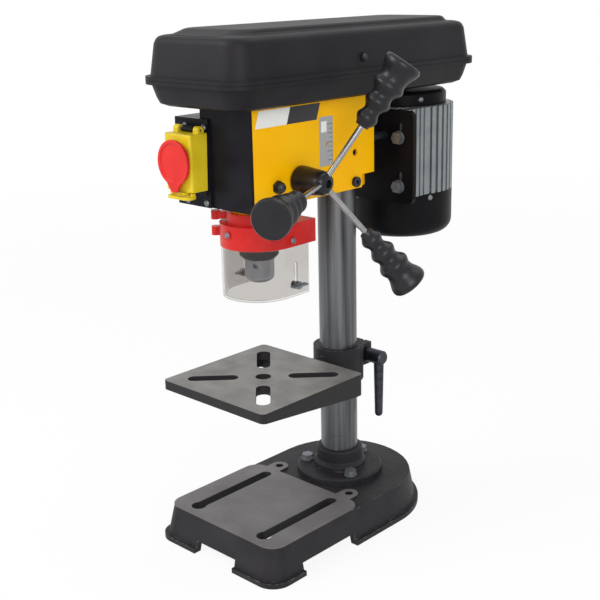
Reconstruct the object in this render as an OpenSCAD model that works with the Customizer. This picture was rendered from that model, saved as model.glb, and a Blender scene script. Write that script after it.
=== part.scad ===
/* [Base] */
// Height of the machined work pad above the bench
base_h = 43; // [40:1:52]
// Width over the foot lip
base_w = 200; // [194:1:220]
// Front edge of the foot ahead of the column axis
base_front = 222; // [218:1:246]
// How far each side leans in from the foot to the top
base_draft = 11; // [9:1:14]
// Wall of the casting
base_wall = 7; // [5:0.5:8]
// Thickness of the casting's roof
base_roof = 9; // [7:0.5:11]
// Radius of the front corners at the foot
base_corner = 24; // [20:1:30]
// How far the foot lip stands out
foot_lip = 3; // [2:0.5:4]
// Height of the foot lip
foot_h = 6; // [4:0.5:9]
// Height of the raised work pad
pad_h = 2.5; // [1.5:0.5:4]
// Rear edge of the work pad ahead of the column axis
pad_rear = 62; // [61:1:66]
// Width of the clamping slots
base_slot_w = 14; // [12:0.5:15]
// Length of the clamping slots
base_slot_l = 124; // [100:1:126]
// Distance between the clamping slots
base_slot_gap = 110; // [104:1:114]
// Radius of the wide front end of each slot
slot_eye_r = 9; // [8:0.5:9.5]
// Radius of the bench bolt holes
bench_hole_r = 5; // [4:0.5:6]
// Distance between the bench bolt holes
bench_hole_gap = 118; // [116:1:124]
// Bench bolt holes ahead of the column axis
bench_hole_y = 50; // [48:1:54]
// Radius of the bosses round the bench bolt holes
bench_boss_r = 11; // [9:0.5:12]
// Length of the front notch
notch_l = 64; // [50:1:76]
// Length of the side notches
side_notch_l = 88; // [70:1:96]
// Middle of the side notches ahead of the column axis
side_notch_y = 126; // [120:1:134]
// Height of the foot notches
notch_h = 14; // [10:1:16]

/* [Column] */
// Outside diameter of the column
column_d = 46; // [44:0.5:50]
// Wall of the column tube
column_wall = 4; // [3:0.5:6]
// Radius of the flange foot
flange_r = 54; // [53:0.5:57]
// Thickness of the flange foot
flange_t = 9; // [7:0.5:11]
// Height of the flange
flange_h = 34; // [28:1:38]
// Wall of the flange neck
flange_neck = 6; // [5:0.5:6.5]
// Radius of the flange bolt circle
flange_bolt_r = 42; // [41.5:0.5:43]

/* [Table] */
// Side of the square table
table_w = 164; // [150:1:176]
// Height of the table top above the bench
table_z = 203; // [190:1:220]
// Thickness of the table at its front edge
table_t = 11; // [9:0.5:14]
// Depth of the table's sides at the rear
table_skirt = 26; // [22:1:30]
// Wall of the table's sides
table_wall = 6; // [5:0.5:8]
// Thickness of the table's rear wall
table_back = 12; // [10:0.5:14]
// Radius of the table's corners
table_corner = 6; // [4:0.5:10]
// Width of the slots on the first diagonal
slot_w = 15; // [12:0.5:16]
// Width of the slots on the other diagonal
cross_slot_w = 16; // [13:0.5:18]
// Distance from the centre to the near end of each slot
slot_near = 29; // [27:1:33]
// Distance from the centre to the far end of each slot
slot_far = 87; // [80:1:92]
// Radius of the centre hole
table_hole_r = 9; // [7:0.5:11]
// Outside radius of the collar on the column
collar_r = 31; // [30:0.5:34]
// Height of the collar
collar_h = 44; // [42:1:50]
// How far the collar stands above the table top
collar_up = 6; // [3:0.5:9]
// Tilt axis below the table top
tilt_drop = 20; // [19:0.5:22]
// Radius of the tilt faces
tilt_face_r = 17; // [15:0.5:18]
// Radius of the tilt bolt
tilt_bolt_r = 6; // [5:0.5:7]
// Clamp screw behind the column axis
clamp_y = 40; // [39:0.5:44]
// Radius of the clamp screw
clamp_screw_r = 5; // [4:0.5:6]
// Thickness of each clamp ear
clamp_ear = 10; // [8:0.5:12]
// Length of the clamp lever's arm
lever_arm = 74; // [60:1:84]
// Radius of the clamp lever's hub
lever_hub_r = 9; // [8:0.5:10]
// Length of the clamp lever's hub
lever_hub_l = 28; // [26:1:32]

/* [Head] */
// Distance from the column axis to the spindle axis
throat = 131; // [128:1:136]
// Width of the head casting
head_w = 76; // [75:0.5:80]
// Front of the head ahead of the column axis
head_front = 172; // [171:0.5:178]
// Rear of the head behind the column axis
head_rear = 24; // [22:0.5:27]
// Underside of the head above the bench
head_z = 409; // [400:1:420]
// Height of the head
head_h = 108; // [106:1:112]
// Wall of the head casting
head_wall = 6; // [5:0.5:7]
// Length of the step cut under the rear of the head
rear_step_l = 22; // [18:1:24]
// Height of the step cut under the rear of the head
rear_step_h = 15; // [12:1:18]
// Radius of the boss round the column
column_boss_r = 33.5; // [33:0.5:35]
// Radius of the quill nose under the head
nose_r = 30; // [28.5:0.5:31]
// Length of the quill nose
nose_h = 24; // [22:1:26]
// Width of the depth scale plate
scale_w = 22.5; // [20:0.5:24]
// Height of the depth scale plate
scale_h = 55; // [50:1:58]
// Front edge of the scale plate ahead of the column axis
scale_y = 70; // [68:0.5:72]
// Thickness of the scale plate
scale_t = 1.5; // [1:0.25:2]

/* [Switch box] */
// Left side of the switch box from the spindle plane
box_left = 76; // [74:1:80]
// Depth of the switch box behind the panel
box_d = 30; // [26:1:32]
// Height of the front panel
panel_h = 96; // [92:1:98]
// Thickness of the front panel
panel_t = 4; // [3:0.5:5]
// Wall of the switch box
box_wall = 3; // [2.5:0.25:4]
// Raised plate round the switch
switch_pad_t = 3; // [2:0.5:4]
// Switch centre left of the spindle plane
switch_x = 45; // [44:0.5:47]
// Width of the yellow switch cover
cover_w = 42; // [40:0.5:44]
// Height of the yellow switch cover
cover_h = 72; // [68:1:74]
// Depth of the yellow switch cover
cover_d = 25; // [22:0.5:26]
// Wall of the yellow switch cover
cover_wall = 2.5; // [2:0.25:3]
// Radius of the red stop pad
stop_r = 24.5; // [22:0.5:26]
// Thickness of the red stop pad
stop_t = 8; // [6:0.5:9]
// Side of the square push buttons
button_w = 15; // [13:0.5:17]
// Travel of the push buttons
button_travel = 3; // [2:0.5:4]

/* [Quill and spindle] */
// Radius of the quill
quill_r = 20; // [19.5:0.25:21]
// Length of the quill
quill_l = 120; // [116:0.5:126]
// Height of the lock nut on top of the spindle bearings
lock_nut_h = 4; // [3:0.5:5]
// Tooth module of the rack and pinion
tooth_m = 1.25; // [1.2:0.01:1.3]
// Teeth on the feed pinion
pinion_teeth = 15; // [14:1:16]
// Rack teeth that pass in a full stroke
stroke_teeth = 13; // [11:1:14]
// Radius of the spindle in its bearings
spindle_r = 8.5; // [8:0.25:9]
// Radius of the sliding upper end of the spindle
spline_r = 7; // [6:0.25:7.5]
// Outside radius of the quill bearings
quill_bearing_r = 15; // [14:0.25:16]
// Width of the quill bearings
quill_bearing_w = 11; // [9:0.5:12]
// Radius of the drive sleeve
sleeve_r = 12; // [11:0.25:13]
// Outside radius of the sleeve bearings
sleeve_bearing_r = 22; // [21.5:0.25:23]
// Width of the sleeve bearings
sleeve_bearing_w = 8; // [7:0.5:8.5]

/* [Chuck] */
// Distance from the quill down to the key ring
chuck_drop = 10; // [6:0.5:12]
// Radius of the chuck's key ring
ring_r = 22; // [21:0.5:24]
// Height of the chuck's key ring
ring_h = 18; // [16:0.5:20]
// Radius of the chuck nose
chuck_r = 16.5; // [16.25:0.25:17.5]
// Length of the chuck nose below the key ring
chuck_l = 26; // [25.5:0.5:30]
// Radius of the chuck core inside the ring
core_r = 15; // [14.5:0.25:16]
// Grip radius with the jaws fully open
grip_r = 6.5; // [6:0.25:6.5]
// Width of a jaw
jaw_w = 6; // [5:0.25:6.5]
// Length of a jaw
jaw_l = 20; // [18:0.5:20]
// Lean of the jaws
jaw_lean = 15; // [13:0.5:15]
// Teeth on the key ring
ring_teeth = 24; // [18:1:30]

/* [Pulleys and belt] */
// Radius of the middle pulley step
pulley_mid = 35; // [34:0.5:36]
// Change of radius from step to step
pulley_step = 5; // [4:0.5:5]
// Height of one pulley step
pulley_pitch = 12; // [11.75:0.25:12.25]
// Number of pulley steps
pulley_steps = 5; // [4:1:5]
// Step that carries the belt, counted from the bottom
belt_step = 2; // [1:1:3]
// Width of the belt at its back
belt_w = 9; // [8:0.25:9]
// Height of the belt
belt_h = 6; // [5:0.25:7]

/* [Belt case] */
// Half width of the case at its rim
case_half = 76; // [75:0.5:80]
// How far the case sits to the left of the spindle plane
case_shift = 6; // [3:0.5:7]
// Front of the case rim ahead of the column axis
case_front = 220; // [216:1:230]
// Rear of the case rim behind the column axis
case_rear = 183; // [182:1:190]
// Depth of the lower pan
pan_h = 27; // [25:0.5:30]
// How far the pan draws in to its floor
pan_draw = 5; // [4:0.5:6]
// Rounded lower edge of the pan
pan_round = 9; // [6:0.5:10]
// Height of the lid
lid_h = 52; // [50:0.5:58]
// How far the lid draws in to its top
lid_draw = 5; // [3:0.5:6]
// Rounded shoulder of the lid
lid_shoulder = 9; // [7:0.5:10]
// Height of the raised panel on the lid
lid_step = 6; // [4:0.5:7]
// Width of the ledge round the raised panel
lid_ledge = 8; // [6:0.5:10]
// Length of the slope at the front of the raised panel
lid_slope = 22; // [16:1:28]
// Lid screw ahead of the column axis
lid_screw_y = 30; // [20:1:40]
// Wall of the case
case_wall = 3; // [2.5:0.25:3.5]
// How far the rims stand out
rim_out = 4; // [3:0.5:5]
// Thickness of each rim
rim_t = 4; // [3:0.5:5]
// Radius of the case corners
case_corner = 28; // [26:1:34]
// Radius of the lid hinge pins
hinge_pin_r = 1.5; // [1.25:0.25:2]
// Radius of the lid hinge knuckles
knuckle_r = 4; // [3.5:0.25:4.5]
// Length of one hinge knuckle
knuckle_l = 14; // [10:0.5:18]

/* [Feed] */
// Height of the feed shaft above the head's underside
feed_up = 24; // [23:0.5:25]
// Radius of the feed shaft at its right bearing
feed_r = 11.5; // [11.25:0.25:12]
// Radius of the feed shaft's stub ends
feed_end_r = 8; // [7:0.25:8.5]
// Width of the pinion
pinion_w = 18; // [14:0.5:20]
// Length of the feed hub
hub_l = 42.5; // [41:0.5:46]
// Radius of the hub against the head
hub_r = 16; // [15:0.5:18]
// Radius of the hub's outer end
hub_end_r = 13; // [12.5:0.25:14.5]
// Radius of the feed rods
rod_r = 3.25; // [3:0.25:3.75]
// Length of each rod and grip from the hub axis
feed_reach = 153; // [140:1:160]
// Length of a grip
grip_l = 80; // [74:1:86]
// Radius of a grip's flared end
grip_end_r = 21; // [19:0.5:22]
// Outward lean of the feed rods
rod_lean = 23; // [20:0.5:25]
// Turn of the first rod from straight up
rod_phase = 27; // [20:1:34]
// Radius of the return spring's housing
spring_cup_r = 27; // [24:0.5:29]
// Depth of the return spring's housing
spring_cup_d = 22; // [20:0.5:25]

/* [Motor] */
// Motor axis behind the column axis
motor_y = 123; // [120:0.5:124]
// Radius over the motor's fins
motor_r = 64; // [60:0.5:64]
// Depth of the fins
fin_d = 4; // [3:0.5:5]
// Number of fins round the motor
fin_count = 40; // [32:1:44]
// Width of the gap between fins
fin_gap = 4; // [3:0.25:5]
// Length of the finned frame
frame_l = 105; // [100:1:110]
// Height of the upper end bell
bell_h = 17.5; // [14:0.5:18]
// Clear height between the end bell and the case
bell_gap = 6.5; // [5:0.5:9]
// Depth of the fan cover
fan_cover_h = 55; // [50:1:58]
// Radius of the fan cover's rounded edge
fan_round = 16; // [12:0.5:18]
// Wall of the motor castings
motor_wall = 8; // [7:0.5:9]
// Radius of the motor shaft
motor_shaft_r = 7; // [6:0.25:8]
// Outside radius of the motor bearings
motor_bearing_r = 14; // [12:0.5:16]
// Radius of the rotor core
rotor_r = 28; // [24:0.5:32]
// Width of the motor plate
plate_w = 146; // [140:1:150]
// Thickness of the motor plate
plate_t = 6; // [5:0.5:7]
// Height of the motor plate
plate_h = 110; // [104:1:114]
// Distance between the motor bolts across
motor_bolt_gap = 105; // [102:1:110]
// Distance between the motor bolts up and down
motor_bolt_rise = 58; // [50:1:62]
// Motor bolts below the middle of the frame
motor_bolt_drop = 8; // [4:0.5:12]
// Radius of the slide bars
bar_r = 5; // [4.5:0.25:5]
// Belt tension travel
tension_travel = 9; // [6:0.5:9]

/* [Chuck guard] */
// Outside radius of the red guard band
band_r = 43; // [42:0.5:45]
// Wall of the guard band
band_t = 3; // [2.5:0.25:3.5]
// Height of the guard band
band_h = 26; // [24:0.5:28]
// Length of the straight arms behind the spindle axis
arm_l = 47; // [42:0.5:48]
// Length of the clear arms behind the spindle axis
clear_arm = 36; // [30:0.5:40]
// Height of the clamp ring on the nose
clamp_h = 12; // [10:0.5:13]
// Wall of the clamp ring on the nose
guard_ring = 6; // [5:0.5:7]
// Wall of the clear sleeve and shield
clear_t = 2; // [1.5:0.25:2.5]
// Height of the clear shield
shield_h = 57; // [50:0.5:59]
// Height adjustment of the clear shield
shield_travel = 24; // [20:0.5:26]

/* [Fits] */
// Running clearance of a shaft in its hole
run_gap = 0.05; // [0.02:0.01:0.08]
// Clearance between parts that move past each other
part_gap = 0.3; // [0.25:0.05:0.4]
// Radius of the small screws
screw_r = 2; // [1.5:0.25:2.5]
// Radius of the machine bolts
bolt_r = 4; // [3.5:0.25:4.5]

/* [Hidden] */
$fn = 64;
hull_fn = 40;
thin = 0.5;
over = 1;

// Base and column levels
base_top = base_h - pad_h;
column_r = column_d / 2;
bench_boss_x = bench_hole_gap / 2;
// Bolt heads follow the bolt radius
bolt_af = bolt_r * 3.25;
bolt_head = bolt_r * 1.35;
washer_r = bolt_r * 2;
washer_t = bolt_r * 0.4;

// Table levels
table_back_y = -throat + table_w / 2;
tilt_z = table_z - tilt_drop;
tilt_head_w = tilt_bolt_r * 3;
tilt_head_t = tilt_bolt_r * 1.2;
collar_top = table_z + collar_up;
collar_mid = collar_top - collar_h / 2;
clamp_slit = 3;
ear_half = 14;
lever_x = clamp_slit / 2 + clamp_ear + part_gap;

// Head levels
head_top = head_z + head_h;
head_half = head_w / 2;
nose_z = head_z - nose_h;
feed_z = head_z + feed_up;
set_screw_up = [8, 42];
guide_screw_y = 6.5;
guide_screw_up = 21;
seat_z = head_top - 2 * sleeve_bearing_w - 2 * part_gap;
quill_top = seat_z - 2 - lock_nut_h - over;
quill_z = quill_top - quill_l;
rack_pitch = PI * tooth_m;
pinion_r = pinion_teeth * tooth_m / 2;
rack_line = quill_r - tooth_m - part_gap;
feed_y = -throat + rack_line + pinion_r;
scale_z = feed_z + 9;
panel_y = -head_front - panel_t;
switch_y = panel_y - switch_pad_t;
panel_top = head_z + panel_h - 3;
panel_z = panel_top - panel_h;
cover_z = (panel_z + panel_top) / 2 - 2;
flap_axis_z = cover_z + cover_h / 2 + 3;
flap_axis_y = switch_y - 8;
panel_screw_x = 15;
button_up = 14;
button_half_l = 8;
flap_pin_r = 1.25;
flap_lug_r = 2.6;
flap_lug_x = 9;
bezel_drop = 2;
flap_catch_x = 12;
gland_r = 6;
gland_bore_r = 3.75;
gland_nut = 5;
gland_cap = 8;
gland_up = 34;
bar_x = column_r + bar_r + 2;
bar_y = -column_boss_r - 3.5;
bar_run = 26.5;
bar_z = head_z + head_h / 2;

// Chuck levels
ring_z = quill_z - chuck_drop - ring_h;
chuck_z = ring_z - chuck_l;
jaw_back = grip_r + 3.6;

// Belt case levels
rim_z = head_top + pan_h;
lid_z = rim_z + part_gap;
lid_top = lid_z + lid_h;
pulley_z = head_top + case_wall + 4;
belt_z = pulley_z + (belt_step + 0.5) * pulley_pitch;
spindle_belt_r = spindle_step_r(belt_step);
motor_belt_r = motor_step_r(belt_step);
hinge_x = -case_shift - case_half - rim_out - knuckle_r - part_gap;
hinge_z = rim_z + part_gap / 2;
lid_screw_up = 16;

// Feed hub and rods
feed_end_x = head_half + hub_l - 16;
rod_root_x = head_half + hub_l - 8;
rod_start = 6;
grip_cap = 10;
waist = 0.72;

// Motor levels
bell_z = head_top - bell_gap - bell_h;
frame_z = bell_z - frame_l;
fan_cover_z = frame_z - fan_cover_h;
plate_y = motor_y - motor_r - plate_t;
plate_z = bell_z - plate_h;
motor_bolt_z = frame_z + frame_l / 2 - motor_bolt_drop;
motor_bolt_in = 18;
motor_slot = 14;
motor_foot_w = 15;
foot_groove = [4, 3, 8];
bell_r = motor_r - 9;
motor_foot_d = motor_r - 20;
motor_floor = 12;
core_z = frame_z + motor_floor + 10;
core_l = frame_l - motor_floor - 20;
fan_r = motor_r - fan_round - 4;
fan_hub_r = 14;
fan_h = 20;
fan_blade_t = 2.5;

// Guard levels
clamp_top = head_z - 9;
band_top = clamp_top - clamp_h;
roof_t = 3;
band_z = band_top - band_h;
sleeve_out = band_r - band_t;
shield_in = sleeve_out + part_gap;
shield_top = band_z - part_gap;
shield_z = shield_top - shield_h;
wing_up = 13;
wing_back = 15;
lug_turn = 215;
wing_z = shield_z + wing_up;
wing_y = -throat + wing_back;

// Children raised along Z
module lift(z) {
    translate([0, 0, z]) children();
}

// Children on the spindle axis at a height
module at_spindle(z) {
    translate([0, -throat, z]) children();
}

// Radius of a spindle pulley step, the largest on top
function spindle_step_r(i) = pulley_mid + (i - (pulley_steps - 1) / 2) * pulley_step;

// Radius of a motor pulley step, the smallest on top
function motor_step_r(i) = 2 * pulley_mid - spindle_step_r(i);

// Round bar along X
module rod_x(r, x0, x1) {
    translate([x0, 0, 0]) rotate([0, 90, 0]) cylinder(r = r, h = x1 - x0);
}

// Round bar along Y
module rod_y(r, y0, y1) {
    translate([0, y0, 0]) rotate([-90, 0, 0]) cylinder(r = r, h = y1 - y0);
}

// Hexagonal bar along Z, by its width across flats
module hex_bar(af, h) {
    cylinder(r = af / sqrt(3), h = h, $fn = 6);
}

// Block between two corners
module block(low, high) {
    translate(low) cube(high - low);
}

// Rounded rectangle between two corners
module round_rect(low, high, r) {
    size = high - low;
    translate([low[0] + r, low[1]]) square([size[0] - 2 * r, size[1]]);
    translate([low[0], low[1] + r]) square([size[0], size[1] - 2 * r]);
    for (x = [low[0] + r, high[0] - r]) {
        for (y = [low[1] + r, high[1] - r]) {
            translate([x, y]) circle(r);
        }
    }
}

// Slot with round ends along X
module slot_x(x0, x1, w) {
    translate([x0 + w / 2, -w / 2]) square([x1 - x0 - w, w]);
    for (x = [x0 + w / 2, x1 - w / 2]) {
        translate([x, 0]) circle(w / 2);
    }
}

// Hex bolt with its washer, seated at the origin and reaching down
module hex_bolt(length) {
    cylinder(r = washer_r, h = washer_t);
    lift(washer_t) hex_bar(bolt_af, bolt_head);
    lift(-length) cylinder(r = bolt_r, h = length + washer_t);
}

// Outline of the base, drawn in by a distance from the foot
module base_plan(inset) {
    half = base_w / 2 - inset;
    front = base_front - inset;
    corner = base_corner - inset / 2;
    translate([-half, -front + corner]) square([2 * half, front - corner]);
    translate([-half + corner, -front]) square([2 * (half - corner), front]);
    for (s = [-1, 1]) {
        translate([s * (half - corner), -front + corner]) circle(corner);
    }
    circle(half);
}

// Leaning block between two base outlines
module base_mass(low, low_inset, high, high_inset) {
    hull() {
        lift(low) linear_extrude(thin) base_plan(low_inset, $fn = hull_fn);
        lift(high - thin) linear_extrude(thin) base_plan(high_inset, $fn = hull_fn);
    }
}

// Plan of the raised work pad with its two bolt ears
module pad_plan() {
    half = base_w / 2 - base_draft;
    corner = base_corner - base_draft / 2;
    round_rect([-half, -base_front + base_draft], [half, -pad_rear], corner);
    for (s = [-1, 1]) {
        translate([s * bench_boss_x, -bench_hole_y]) circle(bench_boss_r);
        translate([s * bench_boss_x - bench_boss_r, -pad_rear - corner])
            square([2 * bench_boss_r, pad_rear + corner - bench_hole_y]);
    }
}

// Bench bolt bosses that reach down to the bench
module bench_bosses() {
    for (s = [-1, 1]) {
        translate([s * bench_boss_x, -bench_hole_y, 0]) cylinder(r = bench_boss_r, h = base_top);
    }
}

// Cast iron base, hollow below, with a machined work pad
module base_casting() {
    slot_front = -base_front + base_draft + slot_eye_r + 6;
    color("#3c3a3e") difference() {
        union() {
            base_mass(0, foot_lip, base_top, base_draft);
            linear_extrude(foot_h) base_plan(0);
            lift(base_top) linear_extrude(pad_h) pad_plan();
        }
        difference() {
            base_mass(-over, foot_lip + base_wall, base_top - base_roof, base_draft + base_wall);
            bench_bosses();
        }
        for (s = [-1, 1]) {
            translate([s * base_slot_gap / 2, slot_front, 0]) {
                rotate(90) linear_extrude(base_h + over) slot_x(0, base_slot_l, base_slot_w);
                translate([0, slot_eye_r / 2, 0]) cylinder(r = slot_eye_r, h = base_h + over);
            }
            translate([s * bench_boss_x, -bench_hole_y, -over])
                cylinder(r = bench_hole_r, h = base_h + 2 * over);
        }
        flange_bolt_places() lift(-base_roof - over)
            cylinder(r = bolt_r, h = base_roof + 2 * over);
        translate([-base_w, -side_notch_y - side_notch_l / 2, -over])
            cube([2 * base_w, side_notch_l, notch_h + over]);
        translate([-notch_l / 2, -base_front - over, -over])
            cube([notch_l, base_draft + base_wall + 3 * over, notch_h + over]);
    }
}

// Places of the three flange bolts
module flange_bolt_places() {
    for (a = [90, 210, 330]) {
        translate([flange_bolt_r * cos(a), flange_bolt_r * sin(a), base_top]) children();
    }
}

// Stepped flange that holds the foot of the column
module column_flange() {
    neck_r = column_r + flange_neck;
    step_r = neck_r + 4;
    color("#3c3a3e") difference() {
        lift(base_top) rotate_extrude() polygon([
            [column_r, 0],
            [flange_r, 0],
            [flange_r, flange_t - 2],
            [flange_r - 2, flange_t],
            [step_r, flange_t],
            [step_r, flange_t + 5],
            [neck_r, flange_t + 9],
            [neck_r, flange_h - 2],
            [neck_r - 2, flange_h],
            [column_r, flange_h]
        ]);
        flange_bolt_places() lift(-over) cylinder(r = bolt_r, h = flange_t + 2 * over);
    }
}

// Bolts that hold the flange on the base
module flange_bolts() {
    color("#8d9296") flange_bolt_places() lift(flange_t) hex_bolt(flange_t + base_roof - 1);
}

// Ground steel column tube
module column_tube() {
    color("#85888a") lift(base_top) difference() {
        cylinder(r = column_r, h = head_top - case_wall - base_top);
        lift(-over)
            cylinder(r = column_r - column_wall, h = head_top - base_top + 2 * over);
    }
}

// Split collar that carries the table and clamps on the column
module table_bracket() {
    ear_x = clamp_slit / 2 + clamp_ear;
    color("#333235") difference() {
        union() {
            lift(collar_top - collar_h) cylinder(r = collar_r, h = collar_h);
            lift(tilt_z) rod_y(tilt_face_r, table_back_y + part_gap, 0);
            block([-ear_x, 0, collar_mid - ear_half], [ear_x, clamp_y + 10, collar_mid + ear_half]);
        }
        lift(collar_top - collar_h - over)
            cylinder(r = column_r + run_gap, h = collar_h + 2 * over);
        block([-clamp_slit / 2, 0, collar_top - collar_h - over],
              [clamp_slit / 2, clamp_y + 11, collar_top + over]);
        translate([0, clamp_y, collar_mid]) rod_x(clamp_screw_r, -ear_x - over, ear_x + over);
        lift(tilt_z) rod_y(tilt_bolt_r, table_back_y - over, -column_r - 4);
    }
}

// Table with slots on its diagonals and sides that deepen to the rear
module table() {
    half = table_w / 2;
    front = -throat - half;
    color("#6f6e6d") difference() {
        union() {
            intersection() {
                translate([-table_w, 0, table_z]) rotate([90, 0, 90]) linear_extrude(2 * table_w) polygon([
                    [front - over, 0],
                    [table_back_y + over, 0],
                    [table_back_y + over, -table_skirt],
                    [table_back_y - table_back, -table_skirt],
                    [front - over, -table_t]
                ]);
                lift(table_z - 2 * table_skirt) linear_extrude(3 * table_skirt)
                    round_rect([-half, front], [half, table_back_y], table_corner);
            }
            lift(tilt_z) rod_y(tilt_face_r, table_back_y - table_back, table_back_y);
        }
        block([-half + table_wall, front + table_wall, table_z - table_skirt - over],
              [half - table_wall, table_back_y - table_back, table_z - table_t]);
        at_spindle(table_z - table_skirt) {
            for (a = [45, 225]) {
                rotate(a) linear_extrude(table_skirt + over) slot_x(slot_near, slot_far, slot_w);
            }
            for (a = [135, 315]) {
                rotate(a) linear_extrude(table_skirt + over) slot_x(slot_near, slot_far, cross_slot_w);
            }
            cylinder(r = table_hole_r, h = table_skirt + over);
        }
        lift(tilt_z) {
            rod_y(tilt_bolt_r + run_gap, table_back_y - table_back - over, table_back_y + over);
            rod_y(tilt_head_w / sqrt(3) + 1, table_back_y - table_back - tilt_head_t - 2,
                  table_back_y - table_back);
        }
    }
}

// Bolt that the table tilts on
module tilt_bolt() {
    head_y = table_back_y - table_back - part_gap;
    color("#8d9296") lift(tilt_z) {
        rod_y(tilt_bolt_r, head_y - over, -column_r - 4);
        translate([0, head_y - tilt_head_t, 0]) rotate([-90, 0, 0]) hex_bar(tilt_head_w, tilt_head_t);
    }
}

// Screw through the ears of the table collar
module clamp_screw() {
    ear_x = clamp_slit / 2 + clamp_ear;
    color("#8d9296") translate([0, clamp_y, collar_mid]) {
        rod_x(clamp_screw_r, -ear_x, lever_x + lever_hub_l - 6);
        translate([-ear_x - 6, 0, 0]) rotate([0, 90, 0]) hex_bar(clamp_screw_r * 3.2, 6);
    }
}

// Lever on the clamp screw, hanging down
module clamp_lever() {
    arm_x = lever_x + lever_hub_l - 8;
    color("#2c2d31") translate([0, clamp_y, collar_mid]) difference() {
        union() {
            rod_x(lever_hub_r, lever_x, lever_x + lever_hub_l - 2);
            translate([arm_x, 0, -lever_arm]) cylinder(r1 = 5, r2 = 6.5, h = lever_arm);
            translate([arm_x, 0, -lever_arm]) sphere(5);
            translate([lever_x + lever_hub_l - 2, 0, 0]) rotate([0, 90, 0])
                cylinder(r1 = lever_hub_r, r2 = lever_hub_r - 2, h = 2);
        }
        rod_x(clamp_screw_r + run_gap, lever_x - over, lever_x + lever_hub_l - 6 + part_gap);
    }
}

// Solid round the feed shaft at its two bearings
module feed_bosses() {
    translate([0, feed_y, feed_z]) {
        rod_x(feed_r + 5, pinion_w / 2 + 2, head_half);
        rod_x(feed_end_r + 5, -head_half, -pinion_w / 2 - 2);
    }
}

// Places of the two screws that lock the head
module set_screw_places() {
    for ($low = [0, 1]) {
        translate([0, -10, head_z + set_screw_up[1 - $low]]) children();
    }
}

// Place of the screw that guides the quill
module guide_screw_place() {
    translate([0, -throat - guide_screw_y, head_z + guide_screw_up]) children();
}

// Head casting
module head_casting() {
    inner = head_half - head_wall;
    color("#f2b200") difference() {
        union() {
            translate([-head_half, 0, 0]) rotate([90, 0, 90]) linear_extrude(head_w) polygon([
                [-head_front, head_z],
                [head_rear - rear_step_l, head_z],
                [head_rear - rear_step_l, head_z + rear_step_h],
                [head_rear, head_z + rear_step_h],
                [head_rear, head_top],
                [-head_front, head_top]
            ]);
            lift(head_z) cylinder(r = column_boss_r, h = head_h);
            at_spindle(nose_z) cylinder(r = nose_r, h = nose_h + head_wall);
        }
        difference() {
            block([-inner, -head_front - over, head_z + head_wall],
                  [inner, head_rear - head_wall, head_top + over]);
            at_spindle(head_z) cylinder(r = nose_r, h = head_h);
            lift(head_z) cylinder(r = column_boss_r, h = head_h);
            feed_bosses();
        }
        lift(head_z - over) cylinder(r = column_r, h = head_h - case_wall + over);
        at_spindle(0) {
            lift(nose_z - over)
                cylinder(r = quill_r + run_gap, h = seat_z - 2 - nose_z + over);
            lift(seat_z - 3) cylinder(r = sleeve_r + 2, h = 4);
            lift(seat_z) cylinder(r = sleeve_bearing_r, h = head_top - seat_z + over);
        }
        translate([0, feed_y, feed_z]) {
            rod_x(feed_r + run_gap, -pinion_w / 2 - 1, head_half + over);
            rod_x(feed_end_r + run_gap, -head_half - over, 0);
        }
        set_screw_places() rod_x(bolt_r, 0, head_half + over);
        guide_screw_place() rod_x(bolt_r, 0, head_half + over);
        for (s = [-1, 1]) {
            translate([s * bar_x, 0, bar_z])
                rod_y(bar_r + run_gap, bar_y - bar_run, head_rear + column_boss_r);
        }
        block([head_half - scale_t, -scale_y, scale_z],
              [head_half + over, scale_w - scale_y, scale_z + scale_h]);
        block([-head_half - over, -head_front - over, cover_z - cover_h / 2],
              [-inner + over, box_d - head_front, cover_z + cover_h / 2]);
    }
}

// Two socket screws that lock the head, the lower one with a cap head
module head_set_screws() {
    tip = column_r + part_gap;
    color("#2a2a2c") set_screw_places() difference() {
        union() {
            rod_x(bolt_r, tip, head_half - 2 + $low * (bolt_r + 2));
            if ($low > 0) rod_x(bolt_r * 1.5, head_half, head_half + bolt_r);
        }
        translate([head_half - 5 + $low * (bolt_r + 2), 0, 0]) rotate([0, 90, 0]) hex_bar(bolt_r, 4);
    }
}

// Guide screw with its domed lock nut
module quill_guide_screw() {
    nut_t = bolt_r * 1.2;
    color("#3a3c40") guide_screw_place() {
        rod_x(bolt_r, quill_r + part_gap, head_half + nut_t + 1);
        translate([head_half, 0, 0]) rotate([0, 90, 0]) hex_bar(bolt_af, nut_t);
        translate([head_half + nut_t, 0, 0]) intersection() {
            sphere(bolt_r * 1.5);
            rod_x(bolt_r * 2, -over, bolt_r * 2);
        }
    }
}

// Depth scale plate let into the side of the head
module scale_plate() {
    color("#9a9a90") difference() {
        block([head_half - scale_t, -scale_y, scale_z], [head_half, scale_w - scale_y, scale_z + scale_h]);
        translate([0, scale_w / 2 - scale_y, scale_z + scale_h * 0.45]) rod_x(screw_r, 0, head_half + over);
    }
}

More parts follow.
